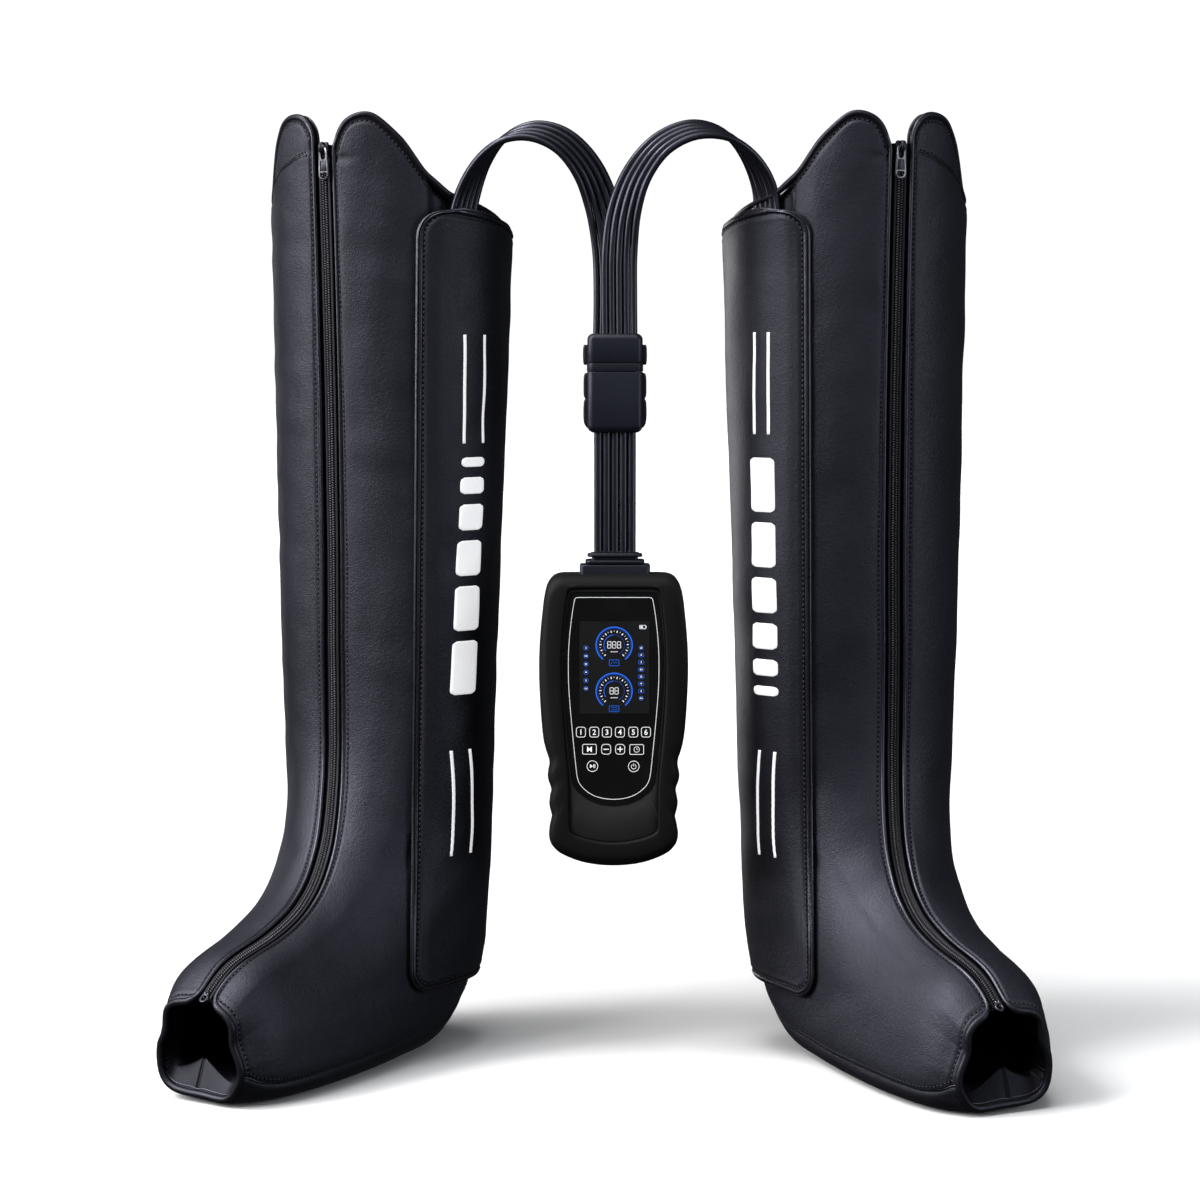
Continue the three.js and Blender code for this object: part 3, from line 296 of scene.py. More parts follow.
def mesh(name, verts, faces, mat, smooth=True):
    """verts in millimetres of the frame"""
    me = bpy.data.meshes.new(name)
    v = np.asarray(verts, float).reshape(-1, 3) / 1000.0
    me.from_pydata(v.tolist(), [], [list(f) for f in faces])
    bm = bmesh.new()
    bm.from_mesh(me)
    bmesh.ops.recalc_face_normals(bm, faces=bm.faces)
    bm.to_mesh(me)
    bm.free()
    return link(me, name, mat, smooth)


def grid_faces(ni, nj, base=0, wrap_i=False, wrap_j=False, flip=False):
    I = ni if wrap_i else ni - 1
    J = nj if wrap_j else nj - 1
    out = []
    for i in range(I):
        for j in range(J):
            a = base + i * nj + j
            b = base + i * nj + (j + 1) % nj
            c = base + ((i + 1) % ni) * nj + (j + 1) % nj
            d = base + ((i + 1) % ni) * nj + j
            out.append((a, d, c, b) if flip else (a, b, c, d))
    return out


def slab(name, outer, inner, mat):
    """closed slab between two grids [ni, nj, 3]"""
    ni, nj = outer.shape[:2]
    n = ni * nj
    faces = grid_faces(ni, nj) + grid_faces(ni, nj, n, flip=True)
    idx = np.arange(n).reshape(ni, nj)
    rim = list(idx[0, :]) + list(idx[1:, -1]) + list(idx[-1, -2::-1]) + list(idx[-2:0:-1, 0])
    m = len(rim)
    for k in range(m):
        a, b = rim[k], rim[(k + 1) % m]
        faces.append((a, a + n, b + n, b))
    return mesh(name, np.concatenate([outer.reshape(-1, 3), inner.reshape(-1, 3)]), faces, mat)


def tube(name, pts, radius, mat, sides=10, closed=False, caps=True, flat=None, normals=None):
    """tube along pts [n,3]; flat=(w,h) gives an elliptic section laid along normals"""
    P = np.asarray(pts, float)
    n = len(P)
    if closed:
        T = np.roll(P, -1, 0) - np.roll(P, 1, 0)
    else:
        T = np.gradient(P, axis=0)
    T /= np.linalg.norm(T, axis=1)[:, None]
    if normals is None:
        N = np.zeros_like(P)
        v = np.cross(T[0], [0.3, 0.5, 0.8])
        v /= np.linalg.norm(v)
        N[0] = v
        for i in range(1, n):
            v = N[i - 1] - T[i] * N[i - 1].dot(T[i])
            N[i] = v / np.linalg.norm(v)
    else:
        N = np.asarray(normals, float)
        N = N - T * (N * T).sum(1)[:, None]
        N /= np.linalg.norm(N, axis=1)[:, None]
    B = np.cross(T, N)
    a = np.linspace(0, 2 * math.pi, sides, endpoint=False)
    rw, rh = (radius, radius) if flat is None else flat
    rw = np.broadcast_to(np.asarray(rw, float), (n,))
    rh = np.broadcast_to(np.asarray(rh, float), (n,))
    rings = (
        P[:, None, :]
        + B[:, None, :] * (rw[:, None] * np.cos(a)[None, :])[:, :, None]
        + N[:, None, :] * (rh[:, None] * np.sin(a)[None, :])[:, :, None]
    )
    faces = grid_faces(n, sides, wrap_i=closed, wrap_j=True)
    verts = rings.reshape(-1, 3)
    if not closed and caps:
        faces.append(tuple(range(sides)))
        faces.append(tuple((n - 1) * sides + k for k in range(sides - 1, -1, -1)))
    return mesh(name, verts, faces, mat)


def resample(P, step, extra=()):
    """points every step along a polyline; extra arrays are resampled with it"""
    P = np.asarray(P, float)
    L = np.concatenate([[0], np.cumsum(np.linalg.norm(np.diff(P, axis=0), axis=1))])
    n = max(2, int(round(L[-1] / step)) + 1)
    t = np.linspace(0, L[-1], n)
    f = lambda A: np.stack([np.interp(t, L, A[:, k]) for k in range(A.shape[1])], 1)
    return [f(P)] + [f(np.asarray(A, float)) for A in extra]


def stitches(name, P, N, mat="thread", pitch=3.3, length=2.3, r=0.42, lift=0.12, slant=0.16, hole=1.0):
    """a row of raised thread stitches along P with surface normals N, and between them near-black blobs painted as the
    shade in the needle holes
    """
    P, N = resample(P, pitch, [N])
    T0 = np.gradient(P, axis=0)
    T0 /= np.linalg.norm(T0, axis=1)[:, None]
    N = N - T0 * (N * T0).sum(1)[:, None]
    N /= np.linalg.norm(N, axis=1)[:, None]
    B0 = np.cross(T0, N)
    T = T0 + B0 * slant
    T /= np.linalg.norm(T, axis=1)[:, None]
    B = np.cross(T, N)
    prof = [(-0.5, 0.35, -0.25), (-0.3, 0.9, 0.1), (0, 1.0, 0.22), (0.3, 0.9, 0.1), (0.5, 0.35, -0.25)]
    sides = 6
    a = np.linspace(0, 2 * math.pi, sides, endpoint=False)
    verts, faces = [], []
    for p, t, nn, b in zip(P, T, N, B):
        base = len(verts)
        for s, q, up in prof:
            c = p + t * (s * length) + nn * (lift + up * r)
            for x in a:
                verts.append(c + b * (r * q * math.cos(x)) + nn * (r * 0.8 * q * math.sin(x)))
        faces += grid_faces(len(prof), sides, base, wrap_j=True)
        faces.append(tuple(base + k for k in range(sides)))
        faces.append(tuple(base + (len(prof) - 1) * sides + k for k in range(sides - 1, -1, -1)))
    n_thread = len(faces)
    sides = 8
    a = np.linspace(0, 2 * math.pi, sides, endpoint=False)
    # between the stitches, near-black blobs painted as the shade in the needle holes
    for k in range(len(P) - 1):
        c = (P[k] + P[k + 1]) / 2 + B0[k] * 0.15
        nn, t, b = N[k], T0[k], B0[k]
        base = len(verts)
        for q, up in ((1.0, -0.5), (0.95, 0.10), (0.55, 0.24)):
            for x in a:
                verts.append(c + b * (hole * 0.95 * q * math.cos(x)) + t * (hole * 0.80 * q * math.sin(x)) + nn * up)
        faces += grid_faces(3, sides, base, wrap_j=True)
        faces.append(tuple(base + j for j in range(sides)))
        faces.append(tuple(base + 2 * sides + j for j in range(sides - 1, -1, -1)))
    o = mesh(name, verts, faces, mat)
    o.data.materials.append(MAT["hole"])
    idx = np.zeros(len(o.data.polygons), int)
    idx[n_thread:] = 1
    o.data.polygons.foreach_set("material_index", idx.tolist())
    return o


def smoothstep(t):
    t = np.clip(t, 0, 1)
    return t * t * (3 - 2 * t)


def dense(length, edge, step, n_edge=7):
    """positions from 0 to length, close together near both ends"""
    e = edge * (np.linspace(0, 1, n_edge) ** 1.2)
    mid = np.arange(edge, length - edge, step)[1:]
    return np.concatenate([e, mid, length - e[::-1]])


# ------------------------------------------------------------------ boot surface (same tables as the CAD)
ST = np.array([
    [262.2, 85.8, 257.0, 0.0, 44.9, 3.3, 3.3, 0.15],
    [229.0, 112.5, 228.0, -1.5, 58.1, 2.7, 4.3, 0.13],
    [178.8, 132.0, 181.0, -1.5, 65.3, 2.2, 5.0, 0.14],
    [134.5, 155.4, 124.7, -1.5, 69.5, 2.0, 4.9, 0.14],
    [102.3, 186.5, 62.8, -0.5, 73.7, 2.05, 4.6, 0.1],
    [82.9, 223.6, -1.4, 3.0, 78.6, 2.2, 3.6, 0.06],
    [71.6, 265.5, -48.0, 35.5, 85.2, 2.25, 2.6, 0.03],
    [69.06, 315.0, -68.3, 105.0, 91.3, 2.2, 2.0, 0.0],
    [71.5, 370.0, -74.4, 200.0, 94.8, 2.12, 1.9, 0.0],
    [74.6, 440.0, -80.4, 310.0, 96.6, 2.08, 1.9, 0.0],
    [78.59, 530.0, -87.9, 440.0, 98.6, 2.05, 1.95, 0.01],
    [82.57, 620.0, -95.6, 565.0, 100.5, 2.01, 2.0, 0.02],
    [87.0, 720.0, -102.1, 690.0, 101.9, 1.98, 2.1, 0.02],
    [90.99, 810.0, -107.8, 800.0, 101.5, 1.95, 2.2, 0.02],
])
BOOTS = {
    "left": (-190.8, 46.4, 31.27 * RAD, 1),
    "right": (-220.2, 32.0, 23.7 * RAD, -1),
}


def station(s):
    n = len(ST) - 1
    x = np.clip(np.asarray(s, float), 0, 1) * n
    i = np.minimum(np.floor(x).astype(int), n - 1)
    f = (x - i)[..., None]
    ext = np.concatenate([[2 * ST[0] - ST[1]], ST, [2 * ST[-1] - ST[-2]]])
    p0, p1, p2, p3 = ext[i], ext[i + 1], ext[i + 2], ext[i + 3]
    return 0.5 * (
        2 * p1 + (-p0 + p2) * f + (2 * p0 - 5 * p1 + 4 * p2 - p3) * f**2 + (-p0 + 3 * p1 - 3 * p2 + p3) * f**3
    )


PIN_A = [-180, -160, -140, -125, -112, -100, -85, -75, -65, -55, -45, -35, -20, 0, 20, 35, 45, 55, 63, 72, 82, 92, 102, 115, 127, 140, 150, 165, 180]
PIN_R = [-4.5, -4.5, -3.5, -3, -2.5, -1.5, -1.5, -4.5, -5.5, -2.5, 1, 1.5, 1, 2, 1.5, 1, 1, 0.5, -2.5, -5, -4, -2, -1, -2, -4.5, -3.5, -2, -3.5, -4.5]


def skin(s, phi, off=0.0, pin=True):
    """u, v, z of the boot's surface; phi in radians from the front towards the inner side"""
    s, phi, off = np.broadcast_arrays(np.asarray(s, float), np.asarray(phi, float), np.asarray(off, float))
    q = station(s)
    Fu, Fz, Bu, Bz, w, nt, nb, sk = [q[..., k] for k in range(8)]
    cu, cz = (Fu + Bu) / 2, (Fz + Bz) / 2
    du, dz = (Fu - Bu) / 2, (Fz - Bz) / 2
    h = np.hypot(du, dz)
    du, dz = du / h, dz / h
    if pin:
        a = (np.degrees(phi) + 180) % 360 - 180
        o = np.interp(a, PIN_A, PIN_R) * np.exp(-((s / 0.055) ** 1.5))
    else:
        o = 0
    h = h + off + o
    w = w + off + o
    c, sn = np.cos(phi), np.sin(phi)
    m = np.where(c > 0, nt, nb)
    r = (np.abs(c) ** m + np.abs(sn) ** m) ** (-1 / m)
    a = r * c
    b = r * sn * (1 - sk * a)
    z = cz + dz * h * a
    return np.stack([cu + du * h * a, w * b, np.maximum(z, np.maximum(-off, 0))], -1)


def stand(p, boot):
    x0, y0, th, mir = BOOTS[boot]
    u, v, z = p[..., 0], p[..., 1], p[..., 2]
    x = x0 - u * math.sin(th) + v * math.cos(th)
    y = y0 - u * math.cos(th) - v * math.sin(th)
    return np.stack([mir * x, y, z], -1) + MOVE


def s_at(z, phi, off=0.0):
    z, phi = np.broadcast_arrays(np.asarray(z, float), np.asarray(phi, float))
    lo = np.zeros(z.shape)
    hi = np.full(z.shape, 1.02)
    for _ in range(26):
        m = (lo + hi) / 2
        low = skin(m, phi, off, False)[..., 2] < z
        lo = np.where(low, m, lo)
        hi = np.where(low, hi, m)
    return (lo + hi) / 2


RIM_A = [-180, -150, -122, -105, -87, -68, -55, -47, -43, -36.5, -28, -22, -16, -11, -7, -4.2, -2.6, -1, 2.5, 7.8, 9.4, 11, 13.5, 17.3, 21.5, 25, 29, 33.5, 38, 43.5, 49.5, 54, 58, 64, 68, 86.5, 105, 122.5, 150, 180]
RIM_Z = [712, 714, 719, 727, 734, 740, 744, 750, 764, 787, 804, 808.5, 809.8, 808.6, 804, 797.5, 788.5, 780, 776, 778, 783, 792, 800.5, 806, 808.8, 809.8, 808.8, 803, 796, 787, 772, 761, 756, 748, 743, 735, 727, 720, 714, 712]
_deg = np.arange(-180, 180.01, 1.0)
_rimz = np.interp(_deg, RIM_A, RIM_Z)
_k = np.array([1, 2, 3, 2, 1]) / 9.0
_rimz = np.convolve(np.pad(_rimz, 2, mode="wrap"), _k, mode="valid")
_rims = np.minimum(s_at(np.minimum(_rimz, 809.6), _deg * RAD), 1.0)


def rim_s(deg):
    return np.interp((np.asarray(deg) + 180) % 360 - 180, _deg, _rims)


def eased(xs, ys, wide=0.022):
    """the table on a fine grid, its corners rounded"""
    x = np.linspace(-0.1, 1.1, 1201)
    y = np.interp(x, xs, ys)
    w = np.hanning(int(wide * 2000) + 3)[1:-1]
    k = len(w) // 2
    return x, np.convolve(np.pad(y, k, mode="edge"), w / w.sum(), mode="valid")


ZIP_D = eased([0, 0.02, 0.05, 0.08, 0.1, 0.13, 0.17, 0.2, 0.25, 0.3, 0.35, 0.4, 0.45, 0.5, 0.55, 0.6, 0.7, 0.8, 0.9, 1], [9.6, 8.9, 9.0, 10.6, 12.4, 15.2, 17.2, 17.0, 13.8, 8.8, 4.6, 0.9, -1.7, -2.8, -2.8, -2.1, 0.0, 1.6, 2.4, 2.7])
ZIP_H = eased([0, 0.01, 0.02, 0.04, 0.06, 0.08, 0.1, 0.14, 0.2, 0.25, 0.3, 0.4, 0.5, 0.7, 0.9, 1], [10.4, 9.8, 9.4, 9.6, 10.4, 11.2, 11.4, 10.8, 10.4, 10.9, 11.3, 11.6, 11.3, 11.0, 11.1, 10.9], 0.01)


def zip_deg(s):
    return np.interp(s, *ZIP_D)


def zip_half(s):
    return np.interp(s, *ZIP_H)


def zip_half_deg(s):
    return zip_half(s) / station(s)[..., 4] / RAD


def seam_deg(s):
    return np.interp(s, [0, 0.012, 0.03, 0.05, 0.08, 0.17, 0.26, 0.33, 0.42, 0.5, 0.6, 1], [111, 114, 120, 123.5, 125.5, 126, 128, 129, 132, 142, 150, 150])


def channel(deg, z):
    across = smoothstep((deg - 54) / 7) * (1 - smoothstep((deg - 136) / 12))
    return across * (6.6 * smoothstep((z - 160) / 50) + 1.4 * smoothstep((z - 697) / 30))


def gauss(d, c, w):
    return np.exp(-(((d - c) / w) ** 2))


def roll(d, h):
    d = np.clip(d, 0, h)
    return h - np.sqrt(np.maximum(0, h * h - (h - d) ** 2))


def soft_wave(p, seed):
    """slow, shallow unevenness of padded leather, in mm; p in mm"""
    rng = np.random.default_rng(seed)
    out = np.zeros(p.shape[:-1])
    for k in range(14):
        f = rng.uniform(0.010, 0.045) * (1 + 0.05 * k)
        d = rng.normal(size=3)
        d /= np.linalg.norm(d)
        out += np.sin(p @ d * f * 2 * math.pi * 0.6 + rng.uniform(0, 6.28)) / (1 + 0.25 * k)
    return out / 3.2


WALL = 5.0


# ------------------------------------------------------------------ cords first
def knots(K, t):
    K = np.asarray(K, float)
    n = len(K) - 1
    x = np.clip(np.asarray(t, float), 0, 1) * n
    i = np.minimum(np.floor(x).astype(int), n - 1)
    f = (x - i)[..., None]
    ext = np.concatenate([[2 * K[0] - K[1]], K, [2 * K[-1] - K[-2]]])
    p0, p1, p2, p3 = ext[i], ext[i + 1], ext[i + 2], ext[i + 3]
    return 0.5 * (
        2 * p1 + (-p0 + p2) * f + (2 * p0 - 5 * p1 + 4 * p2 - p3) * f**2 + (-p0 + 3 * p1 - 3 * p2 + p3) * f**3
    )


ROUTE_L = [[-119.5, -18.6, 705.9], [-112.1, -17.0, 741.4], [-99.2, -20.4, 769.5], [-80.5, -27.0, 788.3], [-56.3, -34.3, 794.1], [-30.7, -37.7, 784.9], [-10.6, -35.8, 762.2], [1.9, -32.8, 731.3], [8.3, -34.0, 696.6], [9.7, -36.0, 660.2], [9.3, -36.7, 623.0]]
ACROSS_L = [[0.77, 0.638, 0], [0.567, 0.802, -0.187], [0.339, 0.94, -0.03], [0.157, 0.96, 0.232], [0.181, 0.821, 0.542], [0.378, 0.647, 0.662], [0.726, 0.483, 0.489], [0.961, 0.261, -0.09], [0.999, 0.049, 0.001], [1, 0, 0], [1, 0, 0]]
ROUTE_R = [[140.9, -23.0, 705.9], [139.7, -21.0, 744.2], [126.5, -27.1, 772.8], [105.4, -36.3, 791.0], [78.1, -44.6, 794.6], [51.1, -48.8, 782.2], [31.2, -49.4, 757.6], [20.2, -48.2, 726.8], [16.3, -45.6, 693.0], [16.0, -44.1, 657.9], [16.3, -43.7, 623.0]]
ACROSS_R = [[-0.679, 0.734, 0], [-0.616, 0.786, 0.049], [-0.527, 0.809, 0.26], [-0.369, 0.852, 0.371], [-0.263, 0.823, 0.503], [-0.379, 0.744, 0.55], [-0.64, 0.607, 0.471], [-0.919, 0.37, 0.137], [-0.997, 0.082, 0.001], [-1, 0, 0], [-1, 0, 0]]
ROUTE_M = [[12.6, -40, 542.9], [12.6, -40, 491.7], [12.6, -40, 440.8]]
ACROSS_M = [[1, 0, 0], [1, 0, 0], [1, 0, 0]]


def hose(name, route, across, od, body, node_name, n):
    t = np.linspace(0, 1, n)
    C = knots(route, t)
    T = knots(route, np.minimum(1, t + 0.004)) - knots(route, np.maximum(0, t - 0.004))
    T /= np.linalg.norm(T, axis=1)[:, None]
    W = knots(across, t)
    W -= T * (W * T).sum(1)[:, None]
    W /= np.linalg.norm(W, axis=1)[:, None]
    N = np.cross(T, W)
    made = []
    for i in range(5):
        rng = np.random.default_rng(hash_name(name) + i)
        # a moulded strip of tubes is never quite flat
        arc = 0.25 * math.sin(i * 2.1 + 0.7)
        P = C + W * ((i - 2) * od * 0.985) + N * arc + MOVE
        cu = bpy.data.curves.new(f"{name}_{i + 1}", "CURVE")
        cu.dimensions = "3D"
        cu.bevel_depth = od / 2000 * 0.985
        cu.bevel_resolution = 4
        cu.use_fill_caps = True
        sp = cu.splines.new("POLY")
        sp.points.add(n - 1)
        for k, p in enumerate(P):
            sp.points[k].co = (*(p / 1000), 1)
        sp.use_smooth = True
        cu.materials.append(MAT["hose"])
        o = bpy.data.objects.new(f"{name}_{i + 1}", cu)
        SCENE.collection.objects.link(o)
        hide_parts(node_name)
        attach(o, body)
        made.append(o)
    return made


def hash_name(name):
    return sum((k + 1) * ord(c) for k, c in enumerate(name)) % 100000


hose("left_hose", ROUTE_L, ACROSS_L, 6.2, "boots", "left_branch_hoses", 61)
hose("right_hose", ROUTE_R, ACROSS_R, 6.2, "boots", "right_branch_hoses", 61)
hose("main_hose", ROUTE_M, ACROSS_M, 7.2, "hand_unit", "main_hoses", 25)


# ------------------------------------------------------------------ boots
def settle(sigma, deg_of, s0=0.0):
    s = np.array(sigma, float)
    d = deg_of(s)
    for _ in range(9):
        s = s0 + sigma * (rim_s(d) - s0)
        d = deg_of(s)
    return s, d


def corner_lift(dist, r=9.0):
    """start of a column at the toe: the corner beside the zip is rounded by r mm"""
    x = r - np.clip(dist, 0, r)
    return (r - np.sqrt(np.maximum(0, r * r - x * x))) / 554.0


def row_positions(step=3.0, edge=12.0):
    """parameter from toe rim to thigh rim, even in length along the boot's side"""
    t = np.linspace(0, 1, 400)
    s, d = settle(t, lambda x: np.full_like(x, 80.0))
    P = skin(s, d * RAD)
    L = np.concatenate([[0], np.cumsum(np.linalg.norm(np.diff(P, axis=0), axis=1))])
    return np.interp(dense(L[-1], edge, step, 16), L, t), L[-1]


ROWS_T, BOOT_LEN = row_positions()


def normals(P):
    """unit normals of a grid of points [ni, nj, 3]"""
    du = np.gradient(P, axis=0)
    dv = np.gradient(P, axis=1)
    n = np.cross(du, dv)
    return n / np.maximum(np.linalg.norm(n, axis=2), 1e-9)[:, :, None]


def edge_distances(P):
    """for a grid, the distance in mm of each point from its four edges: j0, j1, i0, i1"""
    dj = np.linalg.norm(np.diff(P, axis=1), axis=2)
    di = np.linalg.norm(np.diff(P, axis=0), axis=2)
    cj = np.concatenate([np.zeros((P.shape[0], 1)), np.cumsum(dj, 1)], 1)
    ci = np.concatenate([np.zeros((1, P.shape[1])), np.cumsum(di, 0)], 0)
    top = ci[-1] - ci
    # the rim slants: turn the distance along a column into the distance square to the rim
    Tr = np.gradient(P[-1], axis=0)
    Tc = P[-1] - P[-6]
    Tr /= np.linalg.norm(Tr, axis=1)[:, None]
    Tc /= np.linalg.norm(Tc, axis=1)[:, None]
    k = np.linalg.norm(np.cross(Tr, Tc), axis=1)
    k = np.convolve(np.pad(k, 3, mode="edge"), np.ones(7) / 7, mode="valid")
    top = top * np.clip(k, 0.25, 1)[None, :]
    return cj, cj[:, -1:] - cj, ci, top


def level_curve_points(P, D, at, axis):
    """points on a grid where the distance D first reaches `at`, walking along the axis"""
    out = []
    G = P if axis == 1 else np.swapaxes(P, 0, 1)
    Q = D if axis == 1 else D.T
    for g, q in zip(G, Q):
        order = np.argsort(q)
        out.append([np.interp(at, q[order], g[order, k]) for k in range(3)])
    return np.array(out)


def smooth_line(P, k=5):
    P = np.asarray(P, float)
    w = np.hanning(2 * k + 3)[1:-1]
    w /= w.sum()
    Q = np.stack([np.convolve(np.pad(P[:, c], k, mode="edge"), w, mode="valid") for c in range(3)], 1)
    m = np.minimum(np.arange(len(P)), np.arange(len(P))[::-1])[:, None]
    f = np.clip(m / k, 0, 1)
    return P * (1 - f) + Q * f


def add_inner_material(o, n_outer_faces, mat):
    o.data.materials.append(MAT[mat])
    idx = np.zeros(len(o.data.polygons), int)
    idx[n_outer_faces:] = 1
    o.data.polygons.foreach_set("material_index", idx.tolist())


HUMP_Z = {"lat": ([-60, -50, -43, -28, -15, -5, 0], [737, 745.5, 751.5, 764, 772.5, 776, 776.5]), "med": ([0, 12, 20], [774, 772, 770])}


def panel(name, side):
    f = dense(190.0, 12.0, 3.1, 17) / 190.0
    S, Fj = np.meshgrid(ROWS_T, f, indexing="ij")

    def deg_of(s):
        a = zip_deg(s) + side * zip_half_deg(s)
        b = side * seam_deg(s) - side * 0.25
        return a + (b - a) * f[None, :]

    s, d = settle(S[:2], deg_of)
    toe = skin(s, d * RAD)[0]
    dist = np.concatenate([[0], np.cumsum(np.linalg.norm(np.diff(toe, axis=0), axis=1))])
    s, d = settle(S, deg_of, corner_lift(dist)[None, :])
    base = skin(s, d * RAD)
    z = base[..., 2]
    dz_, ds_, dt_, dr_ = edge_distances(base)  # zip, seam, toe, rim
    ch = channel(d, z) if side > 0 else np.zeros_like(z)
    near = np.minimum(np.minimum(dz_, ds_), np.minimum(dt_, dr_))
    drop = np.maximum.reduce([roll(dz_, 2.2), roll(ds_, 2.0), roll(dt_, 2.2), roll(dr_, 2.4)])
    puff = 1.0 - 2.5 * np.exp(-((np.minimum(dz_, dr_) / 7.5) ** 1.5)) - 0.9 * np.exp(-ds_ / 9.0) - 1.5 * np.exp(-((dt_ / 10) ** 1.5))
    groove = np.zeros_like(z)
    for dd, w, at in ((dz_, 1.0, 5.2), (dr_, 1.0, 6.9), (dt_, 0.9, 5.0)):
        groove -= w * 0.95 * gauss(dd, at, 1.0)
        groove += w * 0.25 * gauss(dd, at + 3.2, 1.7) + w * 0.22 * gauss(dd, at - 2.5, 1.1)
    groove -= 0.7 * gauss(dr_, 4.6, 0.6)
    foot = 1 - smoothstep((z - 90) / 90)
    if side < 0:  # the lower part laps over the top lobe of the outer panel
        zs = np.interp(d, *HUMP_Z["lat"])
        m = smoothstep((d + 66) / 10)
        groove -= m * 1.5 * smoothstep((z - zs + 0.6) / 1.6) * np.exp(-np.maximum(z - zs, 0) / 7)
        groove += m * 0.35 * gauss(z, zs - 2.5, 2.0)
    else:
        groove -= 1.6 * gauss(z, 771, 3.0) * gauss(d, 12, 6)
    wav = soft_wave(base, hash_name(name)) * 0.75 * smoothstep((near - 4) / 22)
    off = puff + groove + wav * (1 - 0.45 * foot) - ch
    # the side under the flap stays back from it
    if side > 0:
        under = smoothstep((d - 44) / 8) * smoothstep((z - 55) / 25)
        off = off - under * (np.maximum(0, puff + groove + wav) + 0.3)
    outer = skin(s, d * RAD, off - drop)
    # the rim is stuffed thicker than the rest
    thick = 3.6 * np.exp(-((dr_ / 26) ** 2)) * (1 - smoothstep((np.abs(d - 3) - 45) / 30))
    inner = skin(s, d * RAD, -WALL - thick - ch + np.minimum(drop, 2.2))
    boot = name.split("_")[0]
    O, I = stand(outer, boot), stand(inner, boot)
    o = slab(name, O, I, "leather")
    ni, nj = O.shape[:2]
    add_inner_material(o, (ni - 1) * (nj - 1), "liner")
    # under the rim, the strip between the piping and the stitches is painted darker and duller: painted shade of the
    # recess below the rim roll
    o.data.materials.append(MAT["strip"])
    q = dr_ - 6.2
    q = (q[:-1, :-1] + q[1:, 1:] + q[:-1, 1:] + q[1:, :-1]) / 4
    idx = np.array([pl.material_index for pl in o.data.polygons])
    idx[: q.size][q.ravel() < 0] = 2
    o.data.polygons.foreach_set("material_index", idx.tolist())
    N = normals(O)
    mid = O[ni // 2, nj // 2] - stand(skin(np.array(0.6), np.array(0.0), -60), boot)
    if (N[ni // 2, nj // 2] * mid).sum() < 0:
        N = -N
    run = np.concatenate([[0], np.cumsum(np.linalg.norm(np.diff(base[-1], axis=0), axis=1))])
    toe_run = np.concatenate([[0], np.cumsum(np.linalg.norm(np.diff(base[0], axis=0), axis=1))])
    return o, dict(s=s, d=d, O=O, N=N, zip=dz_, seam=ds_, toe=dt_, rim=dr_, I=I, base=base, run=run, toe_run=toe_run)


def pick(line, key, at, g, axis):
    P = level_curve_points(g["O"], g[key], at, axis)
    N = level_curve_points(g["N"], g[key], at, axis)
    return P, N


def boot_line(boot, s, d, off):
    return stand(skin(s, d * RAD, off), boot)


